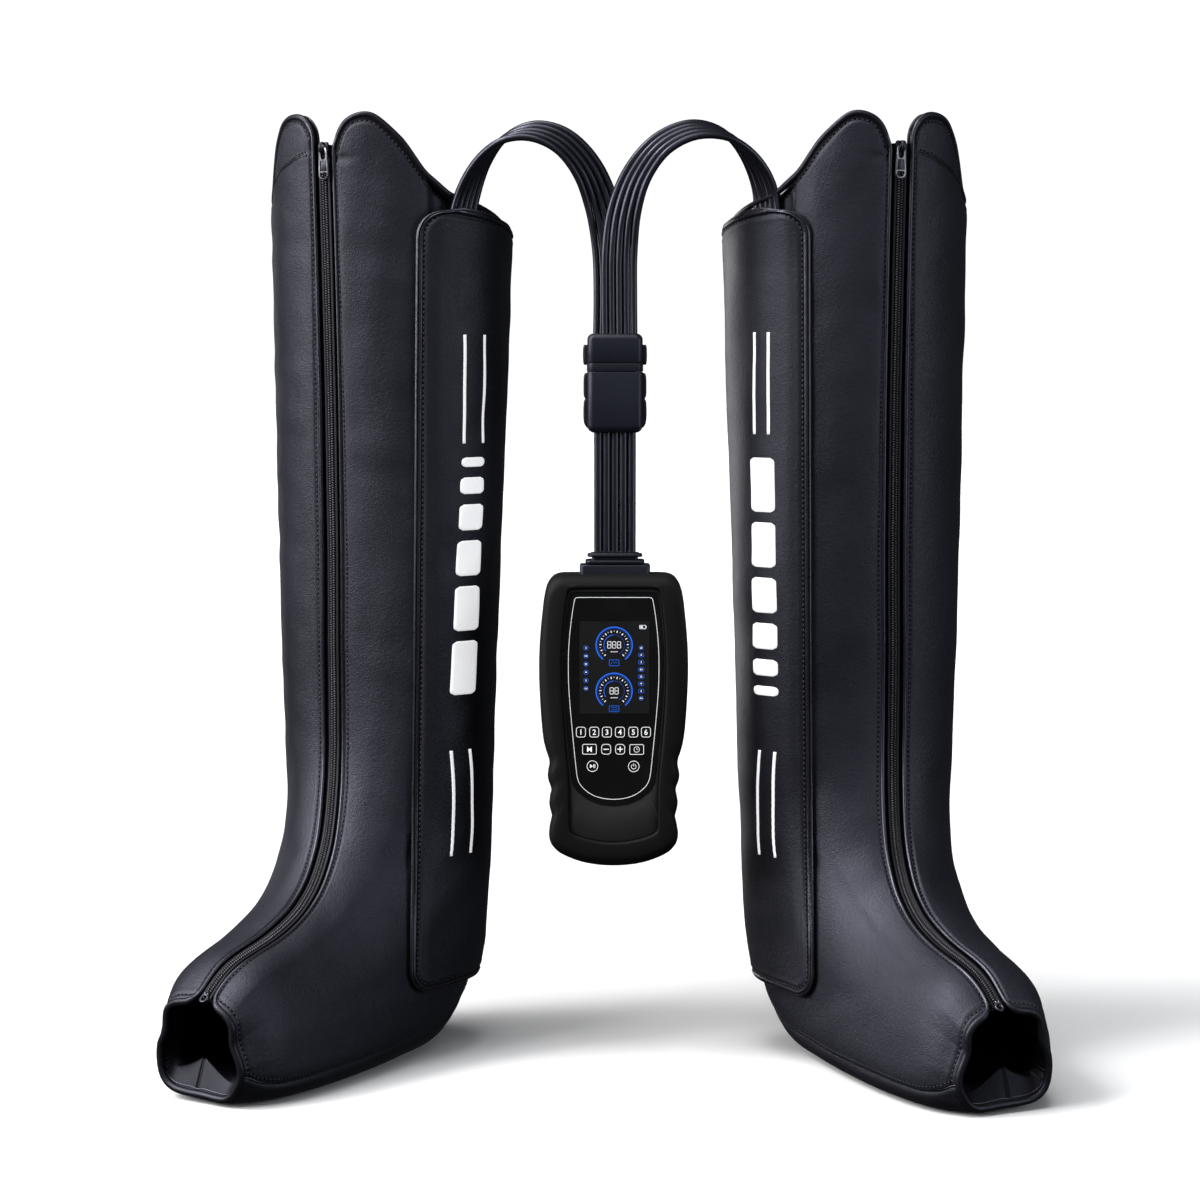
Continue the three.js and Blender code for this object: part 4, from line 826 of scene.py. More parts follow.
def make_boot(boot):
    med, gm = panel(boot + "_inner_panel_skin", 1)
    lat, gl = panel(boot + "_outer_panel_skin", -1)
    for o, n in ((med, "inner_panel"), (lat, "outer_panel")):
        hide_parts(f"{boot}_{n}")
        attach(o, "boots")

    # sole strip, from the toe under the foot and up the back
    cols = np.linspace(0, 1, 46)
    S, Fj = np.meshgrid(ROWS_T, cols, indexing="ij")

    def deg_of(s):
        e = seam_deg(s) + 0.25
        return e + (360 - 2 * e) * Fj

    s, d = settle(S, deg_of)
    base = skin(s, d * RAD)
    a, b, t, r = edge_distances(base)
    drop = np.maximum.reduce([roll(a, 1.8), roll(b, 1.8), roll(t, 2.2), roll(r, 2.4)])
    z = base[..., 2]
    wav = soft_wave(base, 77) * 0.5 * smoothstep((np.minimum(a, b) - 4) / 22) * smoothstep((z - 12) / 20)
    off = 0.3 - 0.9 * np.exp(-np.minimum(a, b) / 6) + wav - 0.7 * gauss(r, 6.3, 1.1)
    # the bottom is pressed flat by the floor
    outer = skin(s, d * RAD, np.where(z < 3, np.minimum(off, 0), off) - drop)
    inner = skin(s, d * RAD, -WALL + np.minimum(drop, 2.0))
    sole = slab(boot + "_sole_strip_skin", stand(outer, boot), stand(inner, boot), "sole")
    add_inner_material(sole, (S.shape[0] - 1) * (S.shape[1] - 1), "liner")
    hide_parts(boot + "_sole_strip")
    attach(sole, "boots")
    gs = dict(s=s, d=d, O=stand(outer, boot), N=normals(stand(outer, boot)))

    # piping: top rim, zip edge, round the toe opening, other zip edge, top rim
    runs, radii = [], []
    for side, g in ((1, gm), (-1, gl)):
        st, dt = g["s"][:, 0], g["d"][:, 0]
        up = skin(st, (dt - side * 0.25) * RAD, -1.3)
        dst = np.concatenate([[0], np.cumsum(np.linalg.norm(np.diff(g["base"][-1], axis=0), axis=1))])
        k = smoothstep(dst / 16)
        top = skin(g["s"][-1, :], g["d"][-1, :] * RAD, -1.3 - 0.9 * k)
        top[:, 2] -= 1.2 + 0.7 * k
        toe = skin(g["s"][0, :], g["d"][0, :] * RAD, -1.3 - 1.5 * smoothstep(g["toe_run"] / 14))
        toe_r = 1.75 + 1.45 * smoothstep(g["toe_run"] / 14)
        runs.append((top, up, toe))
        radii.append((1.75 + 0.85 * k, np.full(len(up), 1.75), toe_r))
    e = float(seam_deg(np.array(0.0)))
    under = skin(np.zeros(30), np.linspace(e + 1.5, 358.5 - e, 30) * RAD, -2.8)
    (ti, ui, oi), (tl, ul, ol) = runs
    (rti, rui, roi), (rtl, rul, rol) = radii
    path = np.concatenate([ti[::-1], ui[::-1][3:-1], oi, under, ol[::-1], ul[1:-3], tl])
    rad = np.concatenate([rti[::-1], rui[::-1][3:-1], roi, np.full(30, 3.2), rol[::-1], rul[1:-3], rtl])
    path, rr = resample(path, 1.7, [rad[:, None]])
    path = smooth_line(path, 3)
    path[:, 2] = np.maximum(path[:, 2], rr[:, 0] + 0.05)
    o = tube(f"{boot}_piping", stand(path, boot), rr[:, 0], "binding", 12)
    # the thick roll at the toe and the rim is a duller leather
    o.data.materials.append(MAT["binding_dull"])
    along = np.minimum(np.arange(len(o.data.polygons)) // 12, len(path) - 1)
    o.data.polygons.foreach_set("material_index", (rr[along, 0] > 2.3).astype(int).tolist())
    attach(o, "boots")
    for side, g, nm in ((1, gm, "inner"), (-1, gl, "outer")):
        # stitches round the toe, along the zip edge and under the rim
        P0, N0 = pick(None, "toe", 5.0, g, 0)
        P1, N1 = pick(None, "zip", 5.2, g, 1)
        P2, N2 = pick(None, "rim", 6.9, g, 0)
        low = int(np.argmax(g["toe"][:, 0] > 8))
        high = g["O"][:, 0, 2] < (g["O"][-1, 0, 2] - 10)
        P1, N1 = P1[low:][high[low:]], N1[low:][high[low:]]
        j = int(np.argmax(g["run"] > 7.5))
        j0 = int(np.argmax(g["toe_run"] > 8))
        P = np.concatenate([P0[j0:-1][::-1], P1, P2[j:]])
        N = np.concatenate([N0[j0:-1][::-1], N1, N2[j:]])
        o = stitches(f"{boot}_{nm}_stitches", P, N, pitch=4.2, length=2.7, r=0.55, lift=0.22, hole=1.25)
        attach(o, "boots")
        # back edge of the top rim: the lining is turned over it
        dq = g["d"][-1, 1:]
        q = skin(g["s"][-1, 1:], dq * RAD, -5.6 - 3.6 * (1 - smoothstep((np.abs(dq - 3) - 45) / 30)))
        q[:, 2] -= 1.0
        up = np.where(g["rim"][:, 0] < 46)[0][:-1]
        fall = np.exp(-((g["rim"][up, 0] / 26) ** 2))
        low_q = skin(g["s"][up, 0], (g["d"][up, 0] + side * 0.3) * RAD, -5.4 - 3.8 * fall)
        q = np.concatenate([low_q, q])
        q, = resample(q, 3.0)
        o = tube(f"{boot}_{nm}_rim_cord", stand(smooth_line(q, 3), boot), np.full(len(q), 1.35), "binding", 8)
        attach(o, "boots")
    # seam cord between panels and sole
    for side, g, nm in ((1, gm, "inner"), (-1, gl, "outer")):
        st = g["s"][:, -1]
        dd = side * seam_deg(st)
        P = skin(st, dd * RAD, -1.5)
        P, = resample(P, 3.0)
        o = tube(f"{boot}_{nm}_seam_cord", stand(P, boot), np.full(len(P), 0.85), "binding", 8)
        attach(o, "boots")
        P1, N1 = pick(None, "seam", 4.2, g, 1)
        o = stitches(f"{boot}_{nm}_seam_stitches", P1[2:-2], N1[2:-2], pitch=3.6)
        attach(o, "boots")
    # the lobe's cross seam: turned edge, the shadow line over it and the stitches, laid on the panel
    g = gl
    hi = float(zip_deg(np.array(0.95)) - zip_half_deg(np.array(0.95)))
    dd = np.linspace(-58, hi - 3.0, 70)
    OV, NV = g["O"].reshape(-1, 3), g["N"].reshape(-1, 3)
    for dz, nm in ((2.6, "stitches"), (0.35, "line"), (-1.0, "edge")):
        zz = np.interp(dd, *HUMP_Z["lat"]) + dz
        P = stand(skin(s_at(zz, dd * RAD), dd * RAD, 0.0), boot)
        j = np.array([int(np.argmin(((OV - v) ** 2).sum(1))) for v in P])
        P = P + NV[j] * ((OV[j] - P) * NV[j]).sum(1)[:, None]
        if nm == "stitches":
            o = stitches(boot + "_lobe_stitches", P, NV[j], pitch=4.2, length=2.7, r=0.5, lift=0.15, hole=1.2)
        elif nm == "line":
            P, n = resample(P + NV[j] * 0.22, 2.5, [NV[j]])
            o = tube(boot + "_lobe_line", smooth_line(P, 3), np.full(len(P), 0.5), "hole", 8)
        else:
            P, n = resample(P + NV[j] * 0.18, 2.5, [NV[j]])
            o = tube(boot + "_lobe_edge", smooth_line(P, 3), np.full(len(P), 0.75), "binding", 8)
        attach(o, "boots")

    toe_parts(boot, gm, gl, gs)
    zipper(boot)
    bladders(boot)
    flap(boot)


def rot_only(v, boot):
    return stand(v, boot) - stand(np.zeros_like(v), boot)


def toe_parts(boot, gm, gl, gs):
    """the folded lining inside the toe opening: it closes in to the chambers and stands up in a fold"""
    dg = np.concatenate([gm["d"][0, :], gl["d"][0, ::-1] + 360])
    sg = np.concatenate([gm["s"][0, :], gl["s"][0, ::-1]])

    def across(deg):
        return 1 - np.abs((deg - 188) / 58.0)

    def face(D, deg):
        """u, v, z of the lining D mm inside the opening"""
        c = np.clip(across(deg), 0, 1)
        s0 = np.interp(deg, dg, sg)
        ridge = 9.0 + 13.0 * c

        def funnel(x):
            off = 3.6 + 17.4 * smoothstep(x / 30.0) ** 0.9
            return skin(s0 + x / 554.0, (deg + 0.2 * x * c) * RAD, -off)

        H = 15.5 * c**1.1
        A = funnel(np.full_like(D, 0.3))
        R = funnel(ridge)
        R[..., 2] += H
        k = np.clip((D - 0.3) / (ridge - 0.3), 0, 1)[..., None]
        front = A + (R - A) * k
        back = funnel(np.maximum(D, ridge))
        back[..., 2] += H * np.exp(-(np.maximum(D - ridge, 0) / 11) ** 1.4)
        tent = np.where((D < ridge)[..., None], front, back)
        w = smoothstep(c / 0.14)[..., None]
        out = funnel(D) * (1 - w) + tent * w
        # centre seam of the fold
        out[..., 2] -= 2.6 * gauss(deg, 188, 1.8) * smoothstep(D / 4) * np.exp(-((D / 34) ** 4))
        # small gathers at the lower corners
        for at in (118.0, 242.0):
            g = gauss(deg, at, 9) * smoothstep(D / 3) * np.exp(-(((D - 7) / 7) ** 2))
            out[..., 1] += g * 0.9 * np.sin(deg * 1.15)
        return out

    deg = np.unique(np.concatenate([
        np.linspace(10, 370, 121), np.linspace(180, 196, 25), np.linspace(104, 130, 27), np.linspace(230, 256, 27)
    ]).round(3))
    nf = 13
    c = np.clip(across(deg), 0, 1)
    ridge = 9.0 + 13.0 * c
    rows = [0.3 + (ridge - 0.3) * f for f in np.linspace(0, 1, nf)]
    rows += [ridge + (62 - ridge) * f for f in (np.linspace(0, 1, 22)[1:] ** 1.5)]
    D = np.array(rows)
    G = np.tile(deg, (len(rows), 1))
    L = face(D, G)
    N = normals(L)
    mid = L.mean((0, 1))
    if ((L - mid) * N).sum() < 0:
        N = -N
    o = slab(boot + "_toe_lining", stand(L, boot), stand(L + N * 0.8, boot), "liner")
    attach(o, "boots")
    # narrow cord just inside the opening
    q = np.linspace(34, 340, 160)
    P = face(np.full_like(q, 3.4), q)
    P, = resample(P, 2.0)
    o = tube(boot + "_lining_cord", stand(smooth_line(P, 2), boot), np.full(len(P), 0.75), "binding", 8)
    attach(o, "boots")


def zipper(boot):
    s1 = float(s_at(783.0, 4 * RAD))
    n = 460
    s = np.linspace(0.009, s1, n)
    P0 = skin(s, zip_deg(s) * RAD, -2.6)
    P0, ss = resample(P0, 1.9, [s[:, None]])
    s = ss[:, 0]
    half = np.maximum(zip_half(s) - 0.7, 4.2)
    S = s[:, None]
    # a raised band runs beside the coil on either side
    half_cols = np.array([0, 1.2, 2.3, 2.8, 3.2, 3.6, 4.7, 5.6, 6.0, 6.4, 6.9, 7.8, 9.0, 1.0])
    cols = np.concatenate([-half_cols[:0:-1], half_cols])
    MM = np.tile(cols, (len(s), 1))
    MM[:, 0] = -half
    MM[:, -1] = half
    MM = np.clip(MM, -half[:, None], half[:, None])
    MM = MM + np.linspace(-1, 1, MM.shape[1])[None, :] * 0.002
    prof = 0.75 * smoothstep((np.abs(MM) - 3.0) / 0.5) * smoothstep((6.4 - np.abs(MM)) / 0.5)
    prof = prof - 1.5 * smoothstep((np.abs(MM) - 6.4) / 1.4)
    d = zip_deg(S[:, :1]) + MM / station(S[:, :1])[..., 4] / RAD
    top = skin(np.repeat(S[:, :1], MM.shape[1], 1), d * RAD, -2.7 + prof)
    bot = skin(np.repeat(S[:, :1], MM.shape[1], 1), d * RAD, -5.0 + 0 * prof)
    o = slab(boot + "_zip_tape_woven", stand(top, boot), stand(bot, boot), "tape")
    # the raised bands get a lighter colour, a painted sheen
    o.data.materials.append(MAT["rib"])
    at = np.abs((MM[:-1, :-1] + MM[1:, 1:]) / 2).ravel()
    idx = np.zeros(len(o.data.polygons), int)
    idx[: at.size][(at > 3.3) & (at < 5.8)] = 1
    # outside the raised bands and under the coil the tape is near-black: painted shade of the gaps
    o.data.materials.append(MAT["hole"])
    idx[: at.size][(at > 5.8) | (at < 3.3)] = 2
    o.data.polygons.foreach_set("material_index", idx.tolist())
    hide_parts(boot + "_zip_tape")
    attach(o, "boots")
    # coil: two rows of interlocked turns
    C = skin(s, zip_deg(s) * RAD, -2.15)
    A = skin(s, (zip_deg(s) + 2) * RAD, -2.15) - C
    O_ = skin(s, zip_deg(s) * RAD, 1.0) - C
    C, A, O_ = stand(C, boot), rot_only(A, boot), rot_only(O_, boot)
    C, A, O_ = resample(C, 2.1, [A, O_])
    T = np.gradient(C, axis=0)
    T /= np.linalg.norm(T, axis=1)[:, None]
    A -= T * (A * T).sum(1)[:, None]
    A /= np.linalg.norm(A, axis=1)[:, None]
    O_ = O_ - T * (O_ * T).sum(1)[:, None] - A * (O_ * A).sum(1)[:, None]
    O_ /= np.linalg.norm(O_, axis=1)[:, None]
    # one turn of the coil: a low leg in the middle that swells to a bead at the outer side
    shape = []
    for x, w, h, z0 in ((0.0, 0.35, 0.5, 0.0), (0.5, 0.5, 0.8, 0.0), (1.0, 0.62, 1.2, 0.0), (1.5, 0.66, 1.3, 0.0), (2.0, 0.5, 0.9, 0.0), (2.35, 0.25, 0.3, 0.0)):
        shape.append([(x, -w, z0), (x, -w * 0.75, h * 0.7), (x, 0.0, h), (x, w * 0.75, h * 0.7), (x, w, z0)])
    # the low middle leg of each turn takes the tape's near-black colour: painted shade between the two rows
    verts, faces, dark = [], [], []
    m = 5
    for k in range(len(C)):
        for side in (-1, 1):
            c = C[k] + T[k] * (0.52 * side)
            base = len(verts)
            for ring in shape:
                for x, t, h in ring:
                    verts.append(c + A[k] * side * (x + 0.05) + T[k] * (t - side * (x - 1.2) * 0.3) + O_[k] * h)
            for q in range(len(shape) - 1):
                for p in range(m):
                    f = (base + q * m + p, base + q * m + (p + 1) % m, base + (q + 1) * m + (p + 1) % m, base + (q + 1) * m + p)
                    faces.append(f if side > 0 else f[::-1])
                    dark.append(int(q < 2))
            last = base + (len(shape) - 1) * m
            a = tuple(base + p for p in range(m - 1, -1, -1))
            b = tuple(last + p for p in range(m))
            faces.append(a if side > 0 else a[::-1])
            faces.append(b if side > 0 else b[::-1])
            dark += [1, 0]
    o = mesh(boot + "_zip_coil", verts, faces, "coil")
    o.data.materials.append(MAT["tape"])
    o.data.polygons.foreach_set("material_index", dark)
    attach(o, "boots")
    # the two middle threads that hold the coil
    for side in (-1, 1):
        P = C + A * side * 0.42 + O_ * 0.25
        o = tube(f"{boot}_coil_thread_{'ab'[side > 0]}", P, np.full(len(P), 0.28), "tape", 5)
        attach(o, "boots")
    # end stop at the toe: a small ring over the first turns
    f = zip_frame(boot, None, s_at_start=0.0095)
    a = np.linspace(0, 2 * math.pi, 32, endpoint=False)
    ring = np.stack([2.9 * np.cos(a), 3.5 * np.sin(a) + 1.6, 1.4 + 0 * a], 1)
    o = tube(boot + "_zip_end_ring", local(f, ring), np.full(32, 1.15), "binding", 10, closed=True)
    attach(o, "boots")
    for k, x in enumerate((-1.3, 1.3)):
        P = np.array([[x, -4.6, 1.2], [x * 0.95, -3.6, 2.2], [x * 0.9, -2.4, 2.3], [x * 0.9, -1.6, 1.3]])
        o = tube(f"{boot}_zip_end_stop_{k + 1}", local(f, knots(P, np.linspace(0, 1, 9))), np.full(9, 0.75), "bright", 8)
        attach(o, "boots")
    slider_and_pull(boot)


def zip_frame(boot, z, s_at_start=None):
    if z is None:
        s = np.array(s_at_start)
        s2 = s - 0.008
    else:
        s = s_at(np.array(float(z)), 4 * RAD)
        s2 = s_at(np.array(float(z) - 20), 4 * RAD)
    P = stand(skin(s, zip_deg(s) * RAD, -2.6), boot)
    Q = stand(skin(s2, zip_deg(s2) * RAD, -2.6), boot)
    down = (Q - P) / np.linalg.norm(Q - P)
    d = zip_deg(s)
    A = stand(skin(s, (d - 3) * RAD), boot)
    B = stand(skin(s, (d + 3) * RAD), boot)
    ac = B - A
    ac -= down * ac.dot(down)
    ac /= np.linalg.norm(ac)
    out = np.cross(ac, down)
    out /= np.linalg.norm(out)
    front = stand(skin(s, d * RAD, 20), boot) - P
    if out.dot(front) < 0:
        out = -out
    return P, ac, down, out


def local(f, pts):
    P, ac, down, out = f
    pts = np.asarray(pts, float)
    return P + pts[..., :1] * ac + pts[..., 1:2] * down + pts[..., 2:3] * out


def smooth_outline(pts, n=3):
    """corner cutting of a closed outline"""
    P = np.asarray(pts, float)
    for _ in range(n):
        Q = np.roll(P, -1, 0)
        P = np.stack([P * 0.75 + Q * 0.25, P * 0.25 + Q * 0.75], 1).reshape(-1, P.shape[1])
    return P


def bevelled_plate(name, f, outline, holes, c0, c1, mat, bevel=0.35):
    """flat plate with rounded edges and through holes, cut by Blender's exact boolean"""
    def solid_of(out, a, b, e, nm):
        out = np.asarray(out, float)
        c = out.mean(0)
        rings = []
        for cc, ins in ((a, e), (a + e * 0.3, e * 0.3), (a + e, 0), (b - e, 0), (b - e * 0.3, e * 0.3), (b, e)):
            r = np.linalg.norm(out - c, axis=1)[:, None]
            q = c + (out - c) * (1 - ins / np.maximum(r, 1e-6))
            rings.append(np.concatenate([q, np.full((len(q), 1), cc)], 1))
        R = np.array(rings)
        n = R.shape[1]
        faces = grid_faces(len(rings), n, wrap_j=True)
        faces.append(tuple(range(n)))
        faces.append(tuple((len(rings) - 1) * n + k for k in range(n - 1, -1, -1)))
        return mesh(nm, local(f, R.reshape(-1, 3)), faces, mat)

    o = solid_of(outline, c0, c1, bevel, name)
    for k, h in enumerate(holes):
        t = solid_of(h, c0 - 2, c1 + 2, 0.0001, f"{name}_hole")
        boolean(o, t)
    return o


def boolean(o, tool, op="DIFFERENCE"):
    m = o.modifiers.new("b", "BOOLEAN")
    m.object = tool
    m.operation = op
    m.solver = "EXACT"
    dg = bpy.context.evaluated_depsgraph_get()
    me = bpy.data.meshes.new_from_object(o.evaluated_get(dg))
    o.modifiers.clear()
    old = o.data
    o.data = me
    bpy.data.meshes.remove(old)
    td = tool.data
    bpy.data.objects.remove(tool)
    bpy.data.meshes.remove(td)


def auto_smooth(o, angle=35):
    """flat where the surface turns sharply, smooth elsewhere"""
    me = o.data
    bm = bmesh.new()
    bm.from_mesh(me)
    for f in bm.faces:
        f.smooth = True
    lim = math.radians(angle)
    for e in bm.edges:
        if len(e.link_faces) == 2 and e.calc_face_angle(0) > lim:
            e.smooth = False
    bm.to_mesh(me)
    bm.free()


def slider_and_pull(boot):
    P, ac, down, out = zip_frame(boot, 781)
    f = (P + ac * 1.4, ac, down, out)
    body = smooth_outline([[-5.0, -2.4], [-3.4, -4.6], [0, -3.8], [3.4, -4.6], [5.0, -2.4], [4.6, 3], [3.7, 8.4], [0, 9.2], [-3.7, 8.4], [-4.6, 3]], 2)
    o = bevelled_plate(boot + "_slider_body", f, body, [], 0.7, 3.5, "gunmetal", 0.7)
    auto_smooth(o)
    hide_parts(boot + "_zip_slider")
    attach(o, boot + "_slider")
    arch = np.array([[0, -3.3, 2.6], [0, -3.6, 4.6], [0, -3.2, 6.6], [0, -1.4, 7.7], [0, 0.9, 7.8], [0, 3.0, 7.2], [0, 4.6, 5.8], [0, 5.0, 3.0]])
    t = np.linspace(0, 1, 30)
    A = knots(arch, t)
    o = tube(boot + "_slider_bail", local(f, A), 0.8, "gunmetal", 12, flat=(1.7, 0.85), normals=local(f, A + np.array([0, -0.3, 1.0]) * 1.0) - local(f, A))
    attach(o, boot + "_slider")
    f = (P + ac * 2.6 + down * 1.2, ac, down, out)
    # pull: a bright frame with a slot for the bail, a sunk field and a window at its end
    outer = smooth_outline([[-3.5, -1.5], [3.5, -1.5], [3.9, 3], [4.6, 14], [5.0, 20.5], [4.7, 24.0], [2.6, 26.0], [-2.6, 26.0], [-4.7, 24.0], [-5.0, 20.5], [-4.6, 14], [-3.9, 3]], 3)
    slot = smooth_outline([[-2.3, -0.1], [2.3, -0.1], [2.75, 9.3], [-2.75, 9.3]], 2)
    hole = smooth_outline([[-3.7, 19.6], [3.7, 19.6], [3.5, 22.4], [2.0, 24.6], [-2.0, 24.6], [-3.5, 22.4]], 2)
    field = [[-3.0, 10.0], [3.0, 10.0], [3.6, 18.8], [-3.6, 18.8]]
    o = bevelled_plate(boot + "_pull_tab", f, outer, [slot, hole], 4.05, 5.85, "bright", 0.45)
    cut_box = bevelled_plate(boot + "_pull_field_cut", f, field, [], 5.2, 7.5, "gunmetal", 0.0001)
    boolean(o, cut_box)
    auto_smooth(o)
    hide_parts(boot + "_zip_pull")
    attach(o, boot + "_pull")
    o = bevelled_plate(boot + "_pull_field", f, [[-2.95, 10.05], [2.95, 10.05], [3.55, 18.75], [-3.55, 18.75]], [], 5.1, 5.35, "gunmetal", 0.05)
    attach(o, boot + "_pull")


def bladders(boot):
    for nm, a, b in (("foot", 0.045, 0.40), ("calf", 0.408, 0.66), ("thigh", 0.668, 0.905)):
        ni = {"foot": 90, "calf": 64, "thigh": 54}[nm]
        nj = 96
        S, J = np.meshgrid(np.linspace(a, b, ni), np.linspace(0, 1, nj), indexing="ij")
        lo = zip_deg(S) + zip_half_deg(S) + 7
        hi = zip_deg(S) - zip_half_deg(S) - 7 + 360
        d = lo + (hi - lo) * J
        base = skin(S, d * RAD, -15.4)
        e = np.minimum.reduce(edge_distances(base))
        full = np.sqrt(np.clip(1 - (1 - np.clip(e / 16, 0, 1)) ** 2, 0, 1))
        flange = 1 - smoothstep((e - 1) / 3)
        pucker = 0.35 * np.sin(J * 150) * np.exp(-((e - 6) / 7) ** 2)
        wav = soft_wave(base, hash_name(boot + nm)) * 0.5
        out = -15.4 + 0.35 + 1.0 * full
        inn = -15.4 - 0.35 - (3.4 + wav) * full - pucker * (1 - flange)
        o = slab(f"{boot}_{nm}_air_chamber", stand(skin(S, d * RAD, out), boot), stand(skin(S, d * RAD, inn), boot), "bladder")
        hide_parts(f"{boot}_{nm}_bladder")
        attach(o, "boots")


# ------------------------------------------------------------------ flap over the hoses
FLAP_BOTTOM = 62.0
EDGE_Z = [59, 75, 90, 105, 120, 140, 160, 180, 200, 225, 250, 280, 310, 350, 400, 450, 500, 560, 620, 680, 731]
EDGE_U = {
    "left": [75.5, 74.3, 73.1, 71.8, 69.6, 65.9, 62.0, 58.6, 55.6, 52.7, 51.1, 50.8, 50.9, 51.6, 52.3, 52.8, 53.3, 53.8, 54.2, 54.8, 55.1],
    "right": [83.2, 81.3, 79.7, 77.8, 74.7, 69.7, 64.9, 60.7, 57.1, 53.8, 52.0, 51.7, 51.8, 52.7, 53.5, 54.3, 55.0, 55.7, 56.3, 57.2, 57.8],
}


def flap_top(t):
    return np.interp(t, [0, 0.07, 0.16, 0.25, 0.34, 0.42, 0.6, 1], [728, 731, 728.5, 725, 720.5, 716, 709, 705])


class Levels:
    """level lines round the boot with arc lengths, by height"""

    def __init__(self, zs, boot):
        self.z = np.asarray(zs, float)
        dd = np.arange(30, 206.1, 1.0)
        Z, D = np.meshgrid(self.z, dd, indexing="ij")
        s = s_at(Z, D * RAD)
        p = skin(s, D * RAD, 0, False)
        ok = (s >= 0.001) & (s <= 1.0)
        self.rows = []
        for k in range(len(self.z)):
            q = p[k][ok[k]][:, :2]
            d = dd[ok[k]]
            arc = np.concatenate([[0], np.cumsum(np.linalg.norm(np.diff(q, axis=0), axis=1))])
            u0 = float(np.interp(self.z[k], EDGE_Z, EDGE_U[boot]))
            i0 = int(np.argmax((q[1:, 0] < u0) & (q[:-1, 0] >= u0))) + 1
            f0 = (q[i0 - 1, 0] - u0) / max(q[i0 - 1, 0] - q[i0, 0], 1e-6)
            start = arc[i0 - 1] + (arc[i0] - arc[i0 - 1]) * f0
            end = float(np.interp(196, d, arc))
            t = np.gradient(q, axis=0)
            t = np.stack([np.convolve(np.pad(t[:, c], 3, mode="edge"), np.ones(7) / 7, mode="valid") for c in (0, 1)], 1)
            t /= np.linalg.norm(t, axis=1)[:, None]
            n = np.stack([t[:, 1], -t[:, 0]], 1)
            sg = np.sign((n * q).sum(1))
            n = n * sg[:, None]
            self.rows.append((q, d, arc, start, end, n))

    def at(self, k, a, o):
        q, d, arc, start, end, n = self.rows[k]
        x = np.interp(a, arc, q[:, 0])
        y = np.interp(a, arc, q[:, 1])
        nx = np.interp(a, arc, n[:, 0])
        ny = np.interp(a, arc, n[:, 1])
        l = np.hypot(nx, ny)
        return x + nx / l * o, y + ny / l * o


def flap_surface(lv, k, a, off):
    """point of the flap at arc a on level k, off from its inner face"""
    q, d, arc, start, end, n = lv.rows[k]
    z = lv.z[k]
    dist = a - start
    room = 3.9 + 2.6 * float(smoothstep((z - 680) / 45)) * (1 - smoothstep((dist - 92) / 22))
    o = 1.2 + (room - 1.2) * smoothstep(dist / 20) + off
    x, y = lv.at(k, a, o)
    return np.stack([x, y, np.full_like(x, z)], -1)


def flap_grid(boot):
    height = 728 - FLAP_BOTTOM
    tau = dense(height, 14, 3.2, 19) / height
    tcol = np.concatenate([np.linspace(0, 14, 20), np.arange(17, 150, 3.1)])
    tcol = tcol / tcol[-1]
    return tau, tcol


